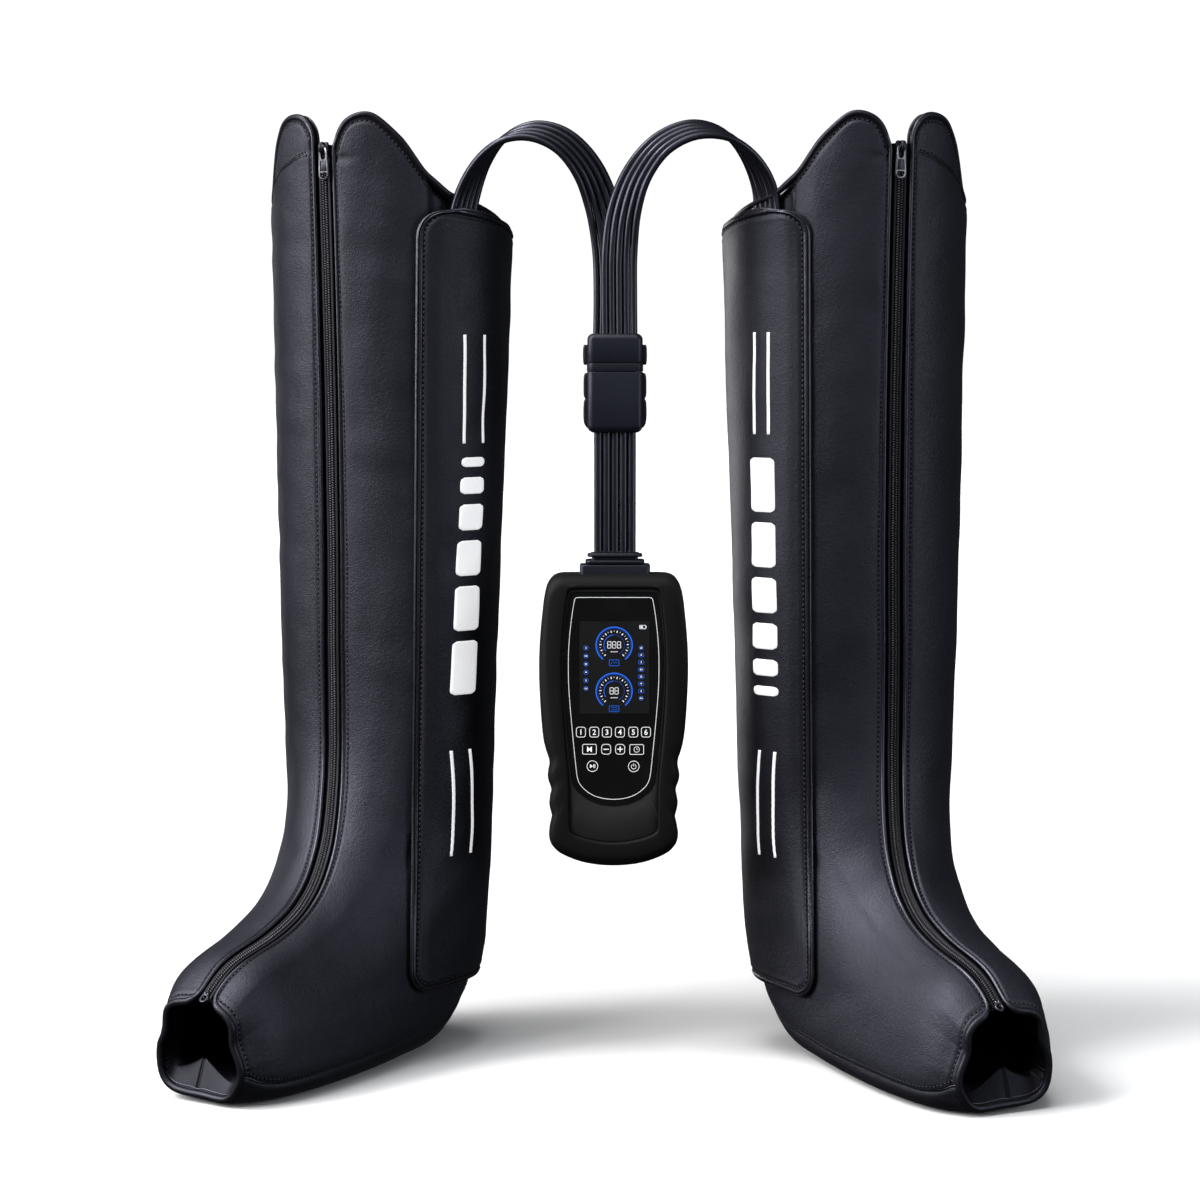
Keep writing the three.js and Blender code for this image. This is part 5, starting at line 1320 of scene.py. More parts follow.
def flap(boot):
    tau, tcol = flap_grid(boot)
    # the top edge slants, so each column has its own heights: work on a fine stack of levels
    lv = Levels(np.linspace(FLAP_BOTTOM, 731, 340), boot)
    ni, nj = len(tau), len(tcol)
    outer = np.zeros((ni, nj, 3))
    inner = np.zeros((ni, nj, 3))
    base = np.zeros((ni, nj, 3))
    U = np.zeros((ni, nj))
    starts = np.array([r[3] for r in lv.rows])
    ends = np.array([r[4] for r in lv.rows])
    top = flap_top(tcol)
    Z = FLAP_BOTTOM + (top[None, :] - FLAP_BOTTOM) * tau[:, None]
    near = np.minimum(Z - FLAP_BOTTOM, flap_top(0) - Z)
    back = np.where(near < 22, 22 - np.sqrt(np.maximum(0, 22 * 22 - (22 - np.clip(near, 0, 22)) ** 2)), 0)
    st = np.interp(Z, lv.z, starts)
    en = np.interp(Z, lv.z, ends)
    A = (st + back) + (en - st - back) * tcol[None, :]
    X = A - st  # distance from the free edge line
    zt = (top[None, :] - Z)
    zb = Z - FLAP_BOTTOM
    v = np.minimum(zt, zb)
    qx, qz = 22 - X, 22 - v
    D = np.where((qx > 0) & (qz > 0), 22 - np.hypot(np.maximum(qx, 0), np.maximum(qz, 0)), np.minimum(X, v))
    D = np.maximum(D, 0)
    # binding with two ridges, groove, stitch line, then soft padding
    h = 4.4 - roll(D, 2.0)
    h += -1.1 * gauss(D, 1.9, 0.45) + 0.45 * gauss(D, 3.4, 0.8) - 0.8 * gauss(D, 5.6, 0.8) - 0.75 * gauss(D, 6.9, 0.8) + 0.25 * gauss(D, 10.0, 1.8)
    fi = np.interp(Z, lv.z, np.arange(len(lv.z)))
    k0 = np.minimum(np.floor(fi).astype(int), len(lv.z) - 2)
    fr = fi - k0

    def place(H):
        out = np.zeros((ni, nj, 3))
        for k in range(len(lv.z)):
            for kk, w in ((k, 1 - fr), (k - 1, fr)):
                m = k0 == kk
                if not m.any():
                    continue
                # arc on this level that matches the share of the width
                share = (A[m] - st[m]) / (en[m] - st[m])
                a = starts[k] + share * (ends[k] - starts[k])
                p = flap_surface(lv, k, a, H[m])
                out[m] += p * w[m][:, None]
        return out

    base = place(np.full_like(Z, 4.4))
    wav = soft_wave(base, hash_name(boot + "flap"))
    soft = 0.7 * wav * smoothstep((D - 9) / 25) * smoothstep((en - A - 6) / 25)
    # the hose ribbon lifts it a little near the top
    soft += 0.5 * smoothstep((Z - 600) / 100) * gauss(X, 60, 30)
    tuck = 0.9 * np.exp(-np.maximum(en - A, 0) / 5.0)
    outer = place(h + np.clip(soft, -1.3, 1.0) + 0.25 - tuck)
    inner = place(np.minimum(roll(D, 2.1), 2.1) + 0.05)
    O, I = stand(outer, boot), stand(inner, boot)
    o = slab(boot + "_flap_cover", O, I, "flap")
    # the binding is a glossier leather; the recessed band between it and the stitch line is painted darker, a painted
    # shade
    o.data.materials.append(MAT["binding"])
    o.data.materials.append(MAT["strip"])
    q = (D[:-1, :-1] + D[1:, 1:] + D[:-1, 1:] + D[1:, :-1]) / 4
    idx = np.zeros(len(o.data.polygons), int)
    idx[: q.size][q.ravel() < 4.6] = 1
    idx[: q.size][(q.ravel() >= 4.6) & (q.ravel() < 6.3)] = 2
    idx[2 * q.size:] = 1
    o.data.polygons.foreach_set("material_index", idx.tolist())
    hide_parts(boot + "_hose_flap")
    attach(o, boot + "_flap")
    N = normals(O)
    centre = stand(np.array([0.0, 0.0, 400.0]), boot)
    k = (O[ni // 2, nj // 2] - centre)
    if (N[ni // 2, nj // 2][:2] * k[:2]).sum() < 0:
        N = -N
    # stitches round the free sides
    P, Nn = contour(O, N, D, 6.6, tcol, tau)
    st_o = stitches(boot + "_flap_stitches", P, Nn, pitch=4.4, length=2.8, r=0.5, lift=0.12)
    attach(st_o, boot + "_flap")
    # a near-black line along the groove of the binding: painted shade
    P, Nn = contour(O, N, D, 2.1, tcol, tau)
    P, Nn = resample(P, 2.5, [Nn])
    o = tube(boot + "_flap_binding_painted_shade_line", P + Nn * 0.1, np.full(len(P), 0.42), "hole", 6)
    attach(o, boot + "_flap")
    prints(boot, lv, O, N)


def contour(O, N, D, at, tcol, tau):
    """walk the line D = at round the flap: bottom edge, free edge, top edge"""
    ni, nj = D.shape

    def cross_col(j, rising):
        idx = range(ni - 1) if rising else range(ni - 1, 0, -1)
        for i in idx:
            i2 = i + 1 if rising else i - 1
            if D[i, j] < at <= D[i2, j]:
                f = (at - D[i, j]) / (D[i2, j] - D[i, j])
                return O[i, j] * (1 - f) + O[i2, j] * f, N[i, j]
        return None

    def cross_row(i):
        for j in range(nj - 1):
            if D[i, j] < at <= D[i, j + 1]:
                f = (at - D[i, j]) / (D[i, j + 1] - D[i, j])
                return O[i, j] * (1 - f) + O[i, j + 1] * f, N[i, j]
        return None

    pts, ns = [], []
    jc = int(np.argmax(tcol * 135 > 22))
    for j in range(nj - 3, jc, -1):
        r = cross_col(j, True)
        if r:
            pts.append(r[0]); ns.append(r[1])
    for i in range(2, ni - 2):
        r = cross_row(i)
        if r:
            pts.append(r[0]); ns.append(r[1])
    for j in range(jc + 1, nj - 2):
        r = cross_col(j, False)
        if r:
            pts.append(r[0]); ns.append(r[1])
    return np.array(pts), np.array(ns)


def on_flap(lv, deg, z, dx=0.0, off=4.75):
    """point on the flap's outer face at an angle and height, dx mm further back"""
    k = int(np.clip(np.searchsorted(lv.z, z), 1, len(lv.z) - 1))
    q, d, arc, start, end, n = lv.rows[k]
    a = float(np.interp(deg, d, arc)) + dx
    p = flap_surface(lv, k, np.array([a]), off)[0]
    p[2] = z
    return p


def prints(boot, lv, SO, SN):
    """two pairs of thin white lines and a plain row of shrinking white bars between them"""
    left = boot == "left"

    flat = SO.reshape(-1, 3)
    flat_n = SN.reshape(-1, 3)
    tree = KDTree(len(flat))
    for k, q in enumerate(flat):
        tree.insert(q, k)
    tree.balance()

    def patch(corners_of, nz, nx):
        """grid of points on the cover's own outer face, and the face's normals there"""
        G = np.zeros((nz, nx, 3))
        N = np.zeros((nz, nx, 3))
        for i in range(nz):
            for j in range(nx):
                deg, z, dx = corners_of(i / (nz - 1), j / (nx - 1))
                q = stand(on_flap(lv, deg, z, dx), boot)
                near = tree.find_n(q, 4)
                w = np.array([1 / (dd + 0.2) ** 2 for _, _, dd in near])
                ids = [kk for _, kk, _ in near]
                n = (flat_n[ids] * w[:, None]).sum(0)
                n /= np.linalg.norm(n)
                lift = (((flat[ids] - q) * flat_n[ids]).sum(1) * w).sum() / w.sum()
                G[i, j] = q + n * lift
                N[i, j] = n
        return G, N

    items = []
    tops = (72.5, 85.5) if left else (67.0, 76.0)
    lows = (66.0, 79.0) if left else (64.5, 75.5)
    z_top = 532 if left else 540
    for c in tops:
        items.append((lambda u, v, c=c: (c, z_top + (92 if left else 86) * u, (v - 0.5) * 2.6), 32, 3))
    for c in lows:
        items.append((lambda u, v, c=c: (c + 10 * (1 - u), 177 + 92 * u, (v - 0.5) * 2.6), 32, 3))
    hs = [8, 14, 22, 30, 38, 46] if left else [46, 38, 30, 22, 14, 8]
    z = 520.0
    mid_top = sum(tops) / 2
    mid_low = sum(lows) / 2
    for k, hh in enumerate(hs):
        z0, z1 = z - hh, z
        z = z0 - 9.0

        def bar(u, v, z0=z0, z1=z1, hh=hh):
            zz = z0 + (z1 - z0) * u
            w = 24.0
            r = min(4.0, hh / 2)
            e = min(zz - z0, z1 - zz)
            ins = r - math.sqrt(max(0.0, r * r - (r - min(e, r)) ** 2))
            half_w = w / 2 - ins
            c = mid_low + (mid_top - mid_low) * (zz - 282) / 242
            return c, zz, (v - 0.5) * 2 * half_w

        items.append((bar, max(10, int(hh / 1.6)), 9))
    for n, (fn, nz, nx) in enumerate(items):
        O, N = patch(fn, nz, nx)
        # the white print glows: a painted highlight over its own white
        o = slab(f"{boot}_flap_print_{n + 1}", O + N * 0.3, O - N * 1.0, "print")
        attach(o, boot + "_flap")


for _b in ("left", "right"):
    make_boot(_b)


# ------------------------------------------------------------------ coupler and pump
CX, CY = 12.6 + MOVE[0], -40 + MOVE[1]
PX = 11.5 + MOVE[0]
MY = MOVE[1]
MID = np.array([PX, 300.0])


def mirror(halfpts, cx):
    H = np.asarray(halfpts, float)
    R = H[1:-1][::-1] * np.array([-1, 1])
    A = np.concatenate([H, R])
    return A + np.array([cx, 0])


def polar(outline, centre, n=420, cuts=3):
    """radius of a star-shaped outline at n even angles round a centre"""
    P = smooth_outline(outline, cuts) - np.asarray(centre)
    a = np.arctan2(P[:, 1], P[:, 0])
    r = np.hypot(P[:, 0], P[:, 1])
    # fine points along each side keep straight runs straight
    fine = []
    for k in range(len(P)):
        q = P[(k + 1) % len(P)]
        for u in np.linspace(0, 1, 12, endpoint=False):
            fine.append(P[k] * (1 - u) + q * u)
    fine = np.array(fine)
    a = np.arctan2(fine[:, 1], fine[:, 0])
    r = np.hypot(fine[:, 0], fine[:, 1])
    o = np.argsort(a)
    a, r = a[o], r[o]
    t = np.linspace(-math.pi, math.pi, n, endpoint=False)
    return np.interp(t, np.concatenate([a - 2 * math.pi, a, a + 2 * math.pi]), np.tile(r, 3))


def ring_xyz(R, inset, y, centre, n=None):
    n = n or len(R)
    t = np.linspace(-math.pi, math.pi, n, endpoint=False)
    r = R - inset
    return np.stack([centre[0] + r * np.cos(t), np.full(n, y), centre[1] + r * np.sin(t)], 1)


def loft(name, rings, mat, loop=False, cap=True, hard=40):
    n = len(rings[0])
    V = np.concatenate(rings)
    faces = grid_faces(len(rings), n, wrap_i=loop, wrap_j=True)
    if cap and not loop:
        V = np.concatenate([V, rings[0].mean(0)[None], rings[-1].mean(0)[None]])
        a, b = len(V) - 2, len(V) - 1
        last = (len(rings) - 1) * n
        for k in range(n):
            faces.append((a, (k + 1) % n, k))
            faces.append((b, last + k, last + (k + 1) % n))
    o = mesh(name, V, faces, mat)
    auto_smooth(o, hard)
    return o


def body_loft(name, halfpts, cx, cz, y0, y1, rnd, mat, cuts=3, n=220):
    """rounded block: half outline in x,z, between two depths, edges rounded by rnd"""
    R = polar(mirror(halfpts, cx), (cx, cz), n, cuts)
    rows = []
    for k in range(6):
        u = k / 5 * math.pi / 2
        rows.append((y0 + rnd * (1 - math.cos(u)), rnd * (1 - math.sin(u))))
    for k in range(6):
        u = k / 5 * math.pi / 2
        rows.append((y1 - rnd * (1 - math.sin(u)), rnd * (1 - math.cos(u))))
    rings = [ring_xyz(R, i, y, (cx, cz)) for y, i in rows]
    return loft(name, rings, mat)


def rounded_rect(cx, cz, w, h, r, n=6):
    pts = []
    r = min(r, w / 2 - 1e-3, h / 2 - 1e-3)
    for sx, sz, a0 in ((1, 1, 0), (-1, 1, 90), (-1, -1, 180), (1, -1, 270)):
        for k in range(n + 1):
            a = math.radians(a0 + 90 * k / n)
            pts.append([cx + sx * (w / 2 - r) + r * math.cos(a), cz + sz * (h / 2 - r) + r * math.sin(a)])
    return np.array(pts)


def block_rows(name, cx, cy, w, d, r, rows, mat, n=8):
    """rounded-rectangle block standing along z; rows are (height, inset)"""
    rings = []
    for z, ins in rows:
        q = rounded_rect(cx, cy, w - 2 * ins, d - 2 * ins, max(r - ins * 0.6, 0.6), n)
        rings.append(np.concatenate([q, np.full((len(q), 1), z)], 1))
    return loft(name, rings, mat)


def end_rows(z, e, up, n=7):
    """rows of a quarter-round edge of radius e that ends at height z"""
    out = []
    for k in range(n):
        u = k / (n - 1) * math.pi / 2
        out.append((z - e * (1 - math.sin(u)) if up else z + e * (1 - math.cos(u)), e * (1 - math.cos(u)) if up else e * (1 - math.sin(u))))
    return out


def block_z(name, cx, cy, w, d, r, z0, z1, e, mat, n=7):
    """rounded-rectangle block standing along z, its edges rounded by e"""
    return block_rows(name, cx, cy, w, d, r, end_rows(z0, e, False, 5) + end_rows(z1, e, True, 5), mat, n)


# socket half: body, thinner side rails; the coupler's side rails and latch buttons are painted darker as the shade on
# its sides
SR = [[0, 622.2], [-17, 622.2], [-21.4, 620.6], [-23.5, 616.5], [-23.7, 610], [-23.7, 602], [-23.0, 601.2], [-10, 601.2], [0, 601.2]]
PR = [[0, 592.0], [-24.4, 592.3], [-26.0, 590.8], [-26.5, 586], [-26.5, 575], [-26.2, 572.2], [-24.9, 570.3], [-26.2, 568.4], [-26.7, 564], [-26.7, 554], [-26, 549], [-23.4, 545.3], [-18, 543.6], [0, 543.6]]


o = block_rows("socket_body", CX, CY, 46.6, 26, 5.6, end_rows(600.75, 0.5, False, 4) + end_rows(624.9, 5.2, True), "plastic")
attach(o, "boots"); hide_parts("coupler_socket")
o = body_loft("socket_rails", SR, CX, 611.7, CY - 8.2, CY + 9.6, 1.8, "side_plastic_painted_shade", cuts=2)
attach(o, "boots")
o = block_rows("coupler_seal_body", CX, CY, 46.0, 25.4, 5.4, end_rows(593.25, 0.5, False, 4) + end_rows(600.4, 0.5, True, 4), "seal")
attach(o, "boots"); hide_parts("coupler_seal")
o = block_z("coupler_seal_rails", CX, CY, 47.4, 15.2, 1.6, 592.9, 600.9, 0.9, "side_plastic_painted_shade")
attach(o, "boots")
for nm, sx in (("left", -1), ("right", 1)):
    rings = []
    for x, ins in ((20.6, 0.3), (25.2, 0.0), (26.0, 0.25), (26.5, 0.9), (26.6, 1.7)):
        q = rounded_rect(CY, 607.1, 11.6 - 2 * ins, 17.0 - 2 * ins, 1.6, 6)
        rings.append(np.stack([np.full(len(q), CX + sx * x), q[:, 0], q[:, 1]], 1))
    o = loft("latch_button_" + nm, rings, "side_plastic_painted_shade")
    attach(o, "latch_" + nm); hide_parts("coupler_latch_" + nm)
    # finger grooves on the latch
    for k in range(4):
        y0 = CY - 3.9 + k * 2.6
        P = np.array([[CX + sx * 26.45, y0, 601.2], [CX + sx * 26.6, y0, 607], [CX + sx * 26.45, y0, 613]])
        o = tube(f"latch_ridge_{nm}_{k + 1}", knots(P, np.linspace(0, 1, 9)), np.full(9, 0.35), "side_plastic_painted_shade", 6)
        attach(o, "latch_" + nm)
o = block_rows("plug_body", CX, CY, 46.8, 26, 5.6, end_rows(541.6, 6.2, False) + end_rows(592.75, 0.5, True, 4), "plastic")
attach(o, "hand_unit"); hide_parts("coupler_plug")
o = body_loft("plug_rails", PR, CX, 568, CY - 8.2, CY + 9.6, 1.7, "side_plastic_painted_shade", cuts=2, n=320)
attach(o, "hand_unit")
o = block_z("plug_spigot", CX, CY, 34, 15.6, 1.8, 590, 606.5, 0.8, "plastic")
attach(o, "hand_unit")
for i in range(5):
    a = np.linspace(0, 2 * math.pi, 20, endpoint=False)
    rings = [np.stack([CX + (i - 2) * 6.2 + r * np.cos(a), CY + r * np.sin(a), np.full(20, z)], 1) for z, r in ((605.6, 1.9), (608.4, 1.9), (609.2, 1.5), (609.3, 0.8), (607.0, 0.8))]
    o = loft(f"plug_nozzle_{i + 1}", rings, "plastic")
    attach(o, "hand_unit")

# hose plug on the pump: collar, flange, ridge and foot
for nm, w, d, r, z0, z1, e in (
    ("collar", 41.5, 17, 3.4, 436.4, 440.2, 1.2),
    ("flange", 46.5, 22, 4.5, 436.9, 439.2, 0.9),
    ("waist", 39, 15, 3, 433.4, 437.3, 0.5),
    ("ridge", 50, 24, 5.0, 431.1, 434.2, 1.1),
    ("foot", 34, 15, 2, 417.6, 431.5, 0.5),
):
    o = block_z("hose_plug_" + nm, CX, CY, w, d, r, z0, z1, e, "plastic")
    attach(o, "hand_unit")
    if nm == "collar":
        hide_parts("hose_plug")
o = block_z("pump_socket_shell", CX, CY, 59.6, 23.8, 4, 404, 430.5, 1.6, "plastic")
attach(o, "hand_unit"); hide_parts("pump_socket")

BUMPER = [[0, 422.6], [-22, 422.6], [-42.4, 422.6], [-47.4, 421.8], [-52.2, 419.4], [-56.2, 413.6], [-58.4, 406.5], [-60.4, 389.4], [-62.3, 369.8], [-63.2, 350.1], [-63.1, 330.4], [-61.5, 301.2], [-59.6, 281.5], [-56.7, 271.1], [-54.5, 265.1], [-54.4, 259.1], [-56.3, 252.2], [-55.1, 246.1], [-52.8, 241.0], [-53.1, 235.8], [-55.0, 228.9], [-53.9, 222.8], [-51.9, 215.9], [-53.2, 210.7], [-55.0, 204.7], [-54.9, 196.9], [-52.2, 190.8], [-45.4, 184.2], [-28.4, 177.3], [-14.1, 174.7], [0, 173.9]]
HOUSING = [[0, 414.6], [-40, 414.6], [-47.5, 411], [-51, 402], [-53.6, 382], [-55, 358], [-55, 336], [-53.6, 310], [-51, 285], [-47.6, 262], [-45.6, 240], [-45, 215], [-44.2, 201], [-40, 192], [-28, 185.6], [-14, 182.8], [0, 182.2]]
OPENING = [[0, 411.1], [-20, 411.1], [-34.5, 411.1], [-38.6, 410.2], [-39.6, 404], [-41.2, 393.3], [-43.5, 372.2], [-44.4, 351.1], [-44.1, 325.6], [-42.6, 300.1], [-41.0, 278.8], [-39.6, 265.2], [-37.9, 245.6], [-37.8, 225], [-37.8, 210], [-37.0, 205.2], [-33, 202.2], [-24.1, 199.0], [-11.4, 196.2], [0, 195.5]]
PANEL = [[0, 408.0], [-20, 408.0], [-33.5, 408.0], [-36.4, 407.4], [-37.4, 402.5], [-40.0, 384.8], [-42.2, 359.4], [-42.2, 334.0], [-40.9, 312.7], [-38.9, 287.2], [-36.8, 264.2], [-35.1, 248.0], [-31.7, 240.3], [-22.4, 232.6], [-11.4, 228.1], [0, 226.8]]
NP = 460
RB = polar(mirror(BUMPER, PX), MID, NP, 2)
RH = polar(mirror(HOUSING, PX), MID, NP, 2)
RO = polar(mirror(OPENING, PX), MID, NP, 2)
RP = polar(mirror(PANEL, PX), MID, NP, 2)


def prow(R, inset, y):
    return ring_xyz(R, inset, y + MY, MID)


rows = [(RH, 5.0, -15.5), (RB, 9.0, -15.4), (RB, 6.6, -15.6), (RB, 4.4, -16.3), (RB, 2.4, -17.8), (RB, 1.0, -20.2), (RB, 0.2, -23.2), (RB, 0, -27), (RB, 0, -42), (RB, 0, -54), (RB, 0.4, -57), (RB, 1.3, -59.9), (RB, 2.9, -62.4), (RB, 5.0, -64.2), (RB, 7.4, -65.3), (RB, 9.4, -65.8)]
rings = [prow(*r) for r in rows]
# flat lip in to the opening, rounded over at its edge
lip = [prow(RO, -2.6, -66.0), prow(RO, -1.4, -65.9), prow(RO, -0.5, -65.3), prow(RO, -0.1, -64.5), prow(RO, 0.0, -63.0), prow(RO, 0.0, -61.6)]
rings += lip
rings += [prow(RH, 2.6, -61.5), prow(RH, -0.35, -59.2), prow(RH, -0.35, -20.8), prow(RH, 2.0, -17.9), prow(RH, 5.0, -17.7)]
o = loft("bumper_skin", rings, "rubber", loop=True, hard=50)
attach(o, "hand_unit"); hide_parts("pump_bumper")

rings = [prow(RH, 0, -38.4), prow(RH, 0, -58.9), prow(RH, 2.8, -61.1), prow(RO, 0.45, -61.2), prow(RO, 0.45, -62.7), prow(RO, 0.6, -63.0), prow(RO, 1.0, -63.2), prow(RP, -0.75, -63.2), prow(RP, -0.4, -63.0), prow(RP, -0.35, -62.6), prow(RP, -0.35, -60.95), prow(RP, 3.4, -60.9), prow(RH, 3.4, -57.2), prow(RH, 2.6, -38.4)]
o = loft("front_deck", rings, "deck", loop=True, hard=50)
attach(o, "hand_unit"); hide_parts("pump_front_housing")


def flat_mesh(name, polys, y_front, mat, thick=0.10, body=None):
    """closed thin prisms from x,z outlines (lists of points), joined in one mesh; y in mm of the frame"""
    verts, faces = [], []
    for P in polys:
        P = np.asarray(P, float)
        n = len(P)
        b = len(verts)
        for x, z in P:
            verts.append([x, y_front, z])
        for x, z in P:
            verts.append([x, y_front + thick, z])
        faces.append(tuple(b + k for k in range(n)))
        faces.append(tuple(b + n + k for k in range(n - 1, -1, -1)))
        for k in range(n):
            faces.append((b + k, b + n + k, b + n + (k + 1) % n, b + (k + 1) % n))
    o = mesh(name, verts, faces, mat, smooth=False)
    if body:
        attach(o, body)
    return o


def ribbon_polys(P, w, closed=False):
    """quads that follow a line in x,z with a width"""
    P = np.asarray(P, float)
    n = len(P)
    if closed:
        T = np.roll(P, -1, 0) - np.roll(P, 1, 0)
    else:
        T = np.gradient(P, axis=0)
    T /= np.maximum(np.linalg.norm(T, axis=1), 1e-9)[:, None]
    N = np.stack([-T[:, 1], T[:, 0]], 1)
    A, B = P + N * w / 2, P - N * w / 2
    out = []
    for k in range(n if closed else n - 1):
        j = (k + 1) % n
        out.append([A[k], A[j], B[j], B[k]])
    return out


def ribbon_ring(name, P, w, y, mat, body, closed=True, thick=0.1):
    """one clean closed band along a line in x,z"""
    P = np.asarray(P, float)
    n = len(P)
    T = (np.roll(P, -1, 0) - np.roll(P, 1, 0)) if closed else np.gradient(P, axis=0)
    T /= np.maximum(np.linalg.norm(T, axis=1), 1e-9)[:, None]
    N = np.stack([-T[:, 1], T[:, 0]], 1)
    A, B = P + N * w / 2, P - N * w / 2
    rows = []
    for k in range(n):
        rows.append([[A[k][0], y, A[k][1]], [B[k][0], y, B[k][1]], [B[k][0], y + thick, B[k][1]], [A[k][0], y + thick, A[k][1]]])
    V = np.array(rows).reshape(-1, 3)
    faces = grid_faces(n, 4, wrap_i=closed, wrap_j=True)
    if not closed:
        faces += [(0, 1, 2, 3), ((n - 1) * 4 + 3, (n - 1) * 4 + 2, (n - 1) * 4 + 1, (n - 1) * 4)]
    o = mesh(name, V, faces, mat, smooth=False)
    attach(o, body)
    return o


# silver line round the gloss panel, given a glow as a painted highlight
TRIM = [[0, 403.9], [-15, 403.9], [-29.4, 403.9], [-32.0, 403.7], [-33.0, 402.0], [-35.8, 384.8], [-38.2, 359.4], [-38.2, 334], [-37.2, 317], [-35, 291.5], [-32.5, 265.9], [-30.9, 250.6], [-27.9, 243.7], [-19.9, 236.9], [-11.4, 233.5], [0, 232.1]]
t_out = smooth_outline(mirror(TRIM, PX), 3)
t_out = resample(np.concatenate([t_out, t_out[:1]]), 1.2)[0][:-1]
ribbon_ring("panel_trim_line", t_out, 0.5, -63.72 + MY, "trim", "hand_unit")

KEYS = [
    ("1", -27.6, 289.8, 9.4, 9.4, 2.4), ("2", -16.4, 289.8, 9.4, 9.4, 2.4), ("3", -5.7, 289.8, 9.4, 9.4, 2.4),
    ("4", 5.3, 289.8, 9.4, 9.4, 2.4), ("5", 16.6, 289.8, 9.4, 9.4, 2.4), ("6", 27.3, 289.8, 9.4, 9.4, 2.4),
    ("mode", -20.4, 275.2, 13.4, 9.4, 1.6), ("minus", -6.3, 275.2, 9.4, 9.4, 3.0), ("plus", 5.5, 275.2, 9.4, 9.4, 3.0),
    ("timer", 19.5, 275.0, 13.4, 9.4, 1.6), ("play", -17.9, 260.8, 10.2, 10.2, 5.0), ("power", 17.0, 260.6, 10.2, 10.2, 5.0),
]
YK = -63.9 + MY - 0.06


def glyph(text, cx, cz, h, y, mat, name, body):
    cu = bpy.data.curves.new(name, "FONT")
    cu.body = text
    cu.size = h / 0.7 / 1000
    cu.align_x = "CENTER"
    cu.align_y = "CENTER"
    cu.extrude = 0.00005
    cu.offset = 0.00006
    ob = bpy.data.objects.new(name, cu)
    SCENE.collection.objects.link(ob)
    dg = bpy.context.evaluated_depsgraph_get()
    me = bpy.data.meshes.new_from_object(ob.evaluated_get(dg))
    bpy.data.objects.remove(ob)
    co = np.array([v.co for v in me.vertices])
    lo, hi = co.min(0), co.max(0)
    c = (lo + hi) / 2
    co = co - c
    k = (h / 1000) / (hi[1] - lo[1])
    co = co * np.array([k, k, 1])
    V = np.stack([co[:, 0] + cx / 1000, -co[:, 2] + y / 1000, co[:, 1] + cz / 1000], 1)
    for v, q in zip(me.vertices, V):
        v.co = q
    me.materials.clear()
    me.materials.append(MAT[mat])
    me.name = name
    o = bpy.data.objects.new(name, me)
    SCENE.collection.objects.link(o)
    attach(o, body)
    return o


def arc_pts(cx, cz, r, a0, a1, n=40):
    a = np.radians(np.linspace(a0, a1, n))
    return np.stack([cx + r * np.cos(a), cz + r * np.sin(a)], 1)


# key legends are white print given a glow, a painted highlight
for nm, x, z, w, h, r in KEYS:
    body = "button_" + nm
    cx = PX + x
    ring = nm in ("play", "power")
    out = rounded_rect(cx, z, w - (1.1 if ring else 1.7), h - (1.1 if ring else 1.0), 4.5 if ring else max(r - 0.4, 0.9), 8)
    ribbon_ring(f"key_{nm}_outline", out, 0.48, YK, "legend", body)
    if nm in "123456":
        glyph(nm, cx, z, 4.6, YK, "legend", f"key_{nm}_number", body)
    elif nm == "mode":
        glyph("M", cx, z, 4.4, YK, "legend", "key_mode_letter", body)
    elif nm == "minus":
        flat_mesh("key_minus_sign", [rounded_rect(cx, z, 4.6, 0.8, 0.2, 2)], YK, "legend", body=body)
    elif nm == "plus":
        flat_mesh("key_plus_sign", [[[cx - 2.3, z - 0.45], [cx - 0.45, z - 0.45], [cx - 0.45, z - 2.3], [cx + 0.45, z - 2.3], [cx + 0.45, z - 0.45], [cx + 2.3, z - 0.45], [cx + 2.3, z + 0.45], [cx + 0.45, z + 0.45], [cx + 0.45, z + 2.3], [cx - 0.45, z + 2.3], [cx - 0.45, z + 0.45], [cx - 2.3, z + 0.45]]], YK, "legend", body=body)
    elif nm == "timer":
        ribbon_ring("key_timer_dial", arc_pts(cx, z, 2.3, 0, 350, 36), 0.4, YK, "legend", body)
        ribbon_ring("key_timer_hand", [[cx, z + 1.4], [cx, z], [cx + 1.2, z]], 0.4, YK - 0.01, "legend", body, closed=False)
    elif nm == "play":
        flat_mesh("key_play_sign", [[[cx - 2.0, z - 1.6], [cx + 0.5, z], [cx - 2.0, z + 1.6]], rounded_rect(cx + 1.1, z, 0.55, 3.2, 0.1, 2), rounded_rect(cx + 2.1, z, 0.55, 3.2, 0.1, 2)], YK, "legend", body=body)
    else:
        ribbon_ring("key_power_ring", arc_pts(cx, z - 0.2, 2.0, 120, 420, 36), 0.45, YK, "legend", body, closed=False)
        flat_mesh("key_power_bar", [rounded_rect(cx, z + 1.3, 0.5, 2.4, 0.1, 2)], YK - 0.01, "legend", body=body)

# display: two dials with numbers, icon columns and a battery sign
YS = -63.5 + MY - 0.05

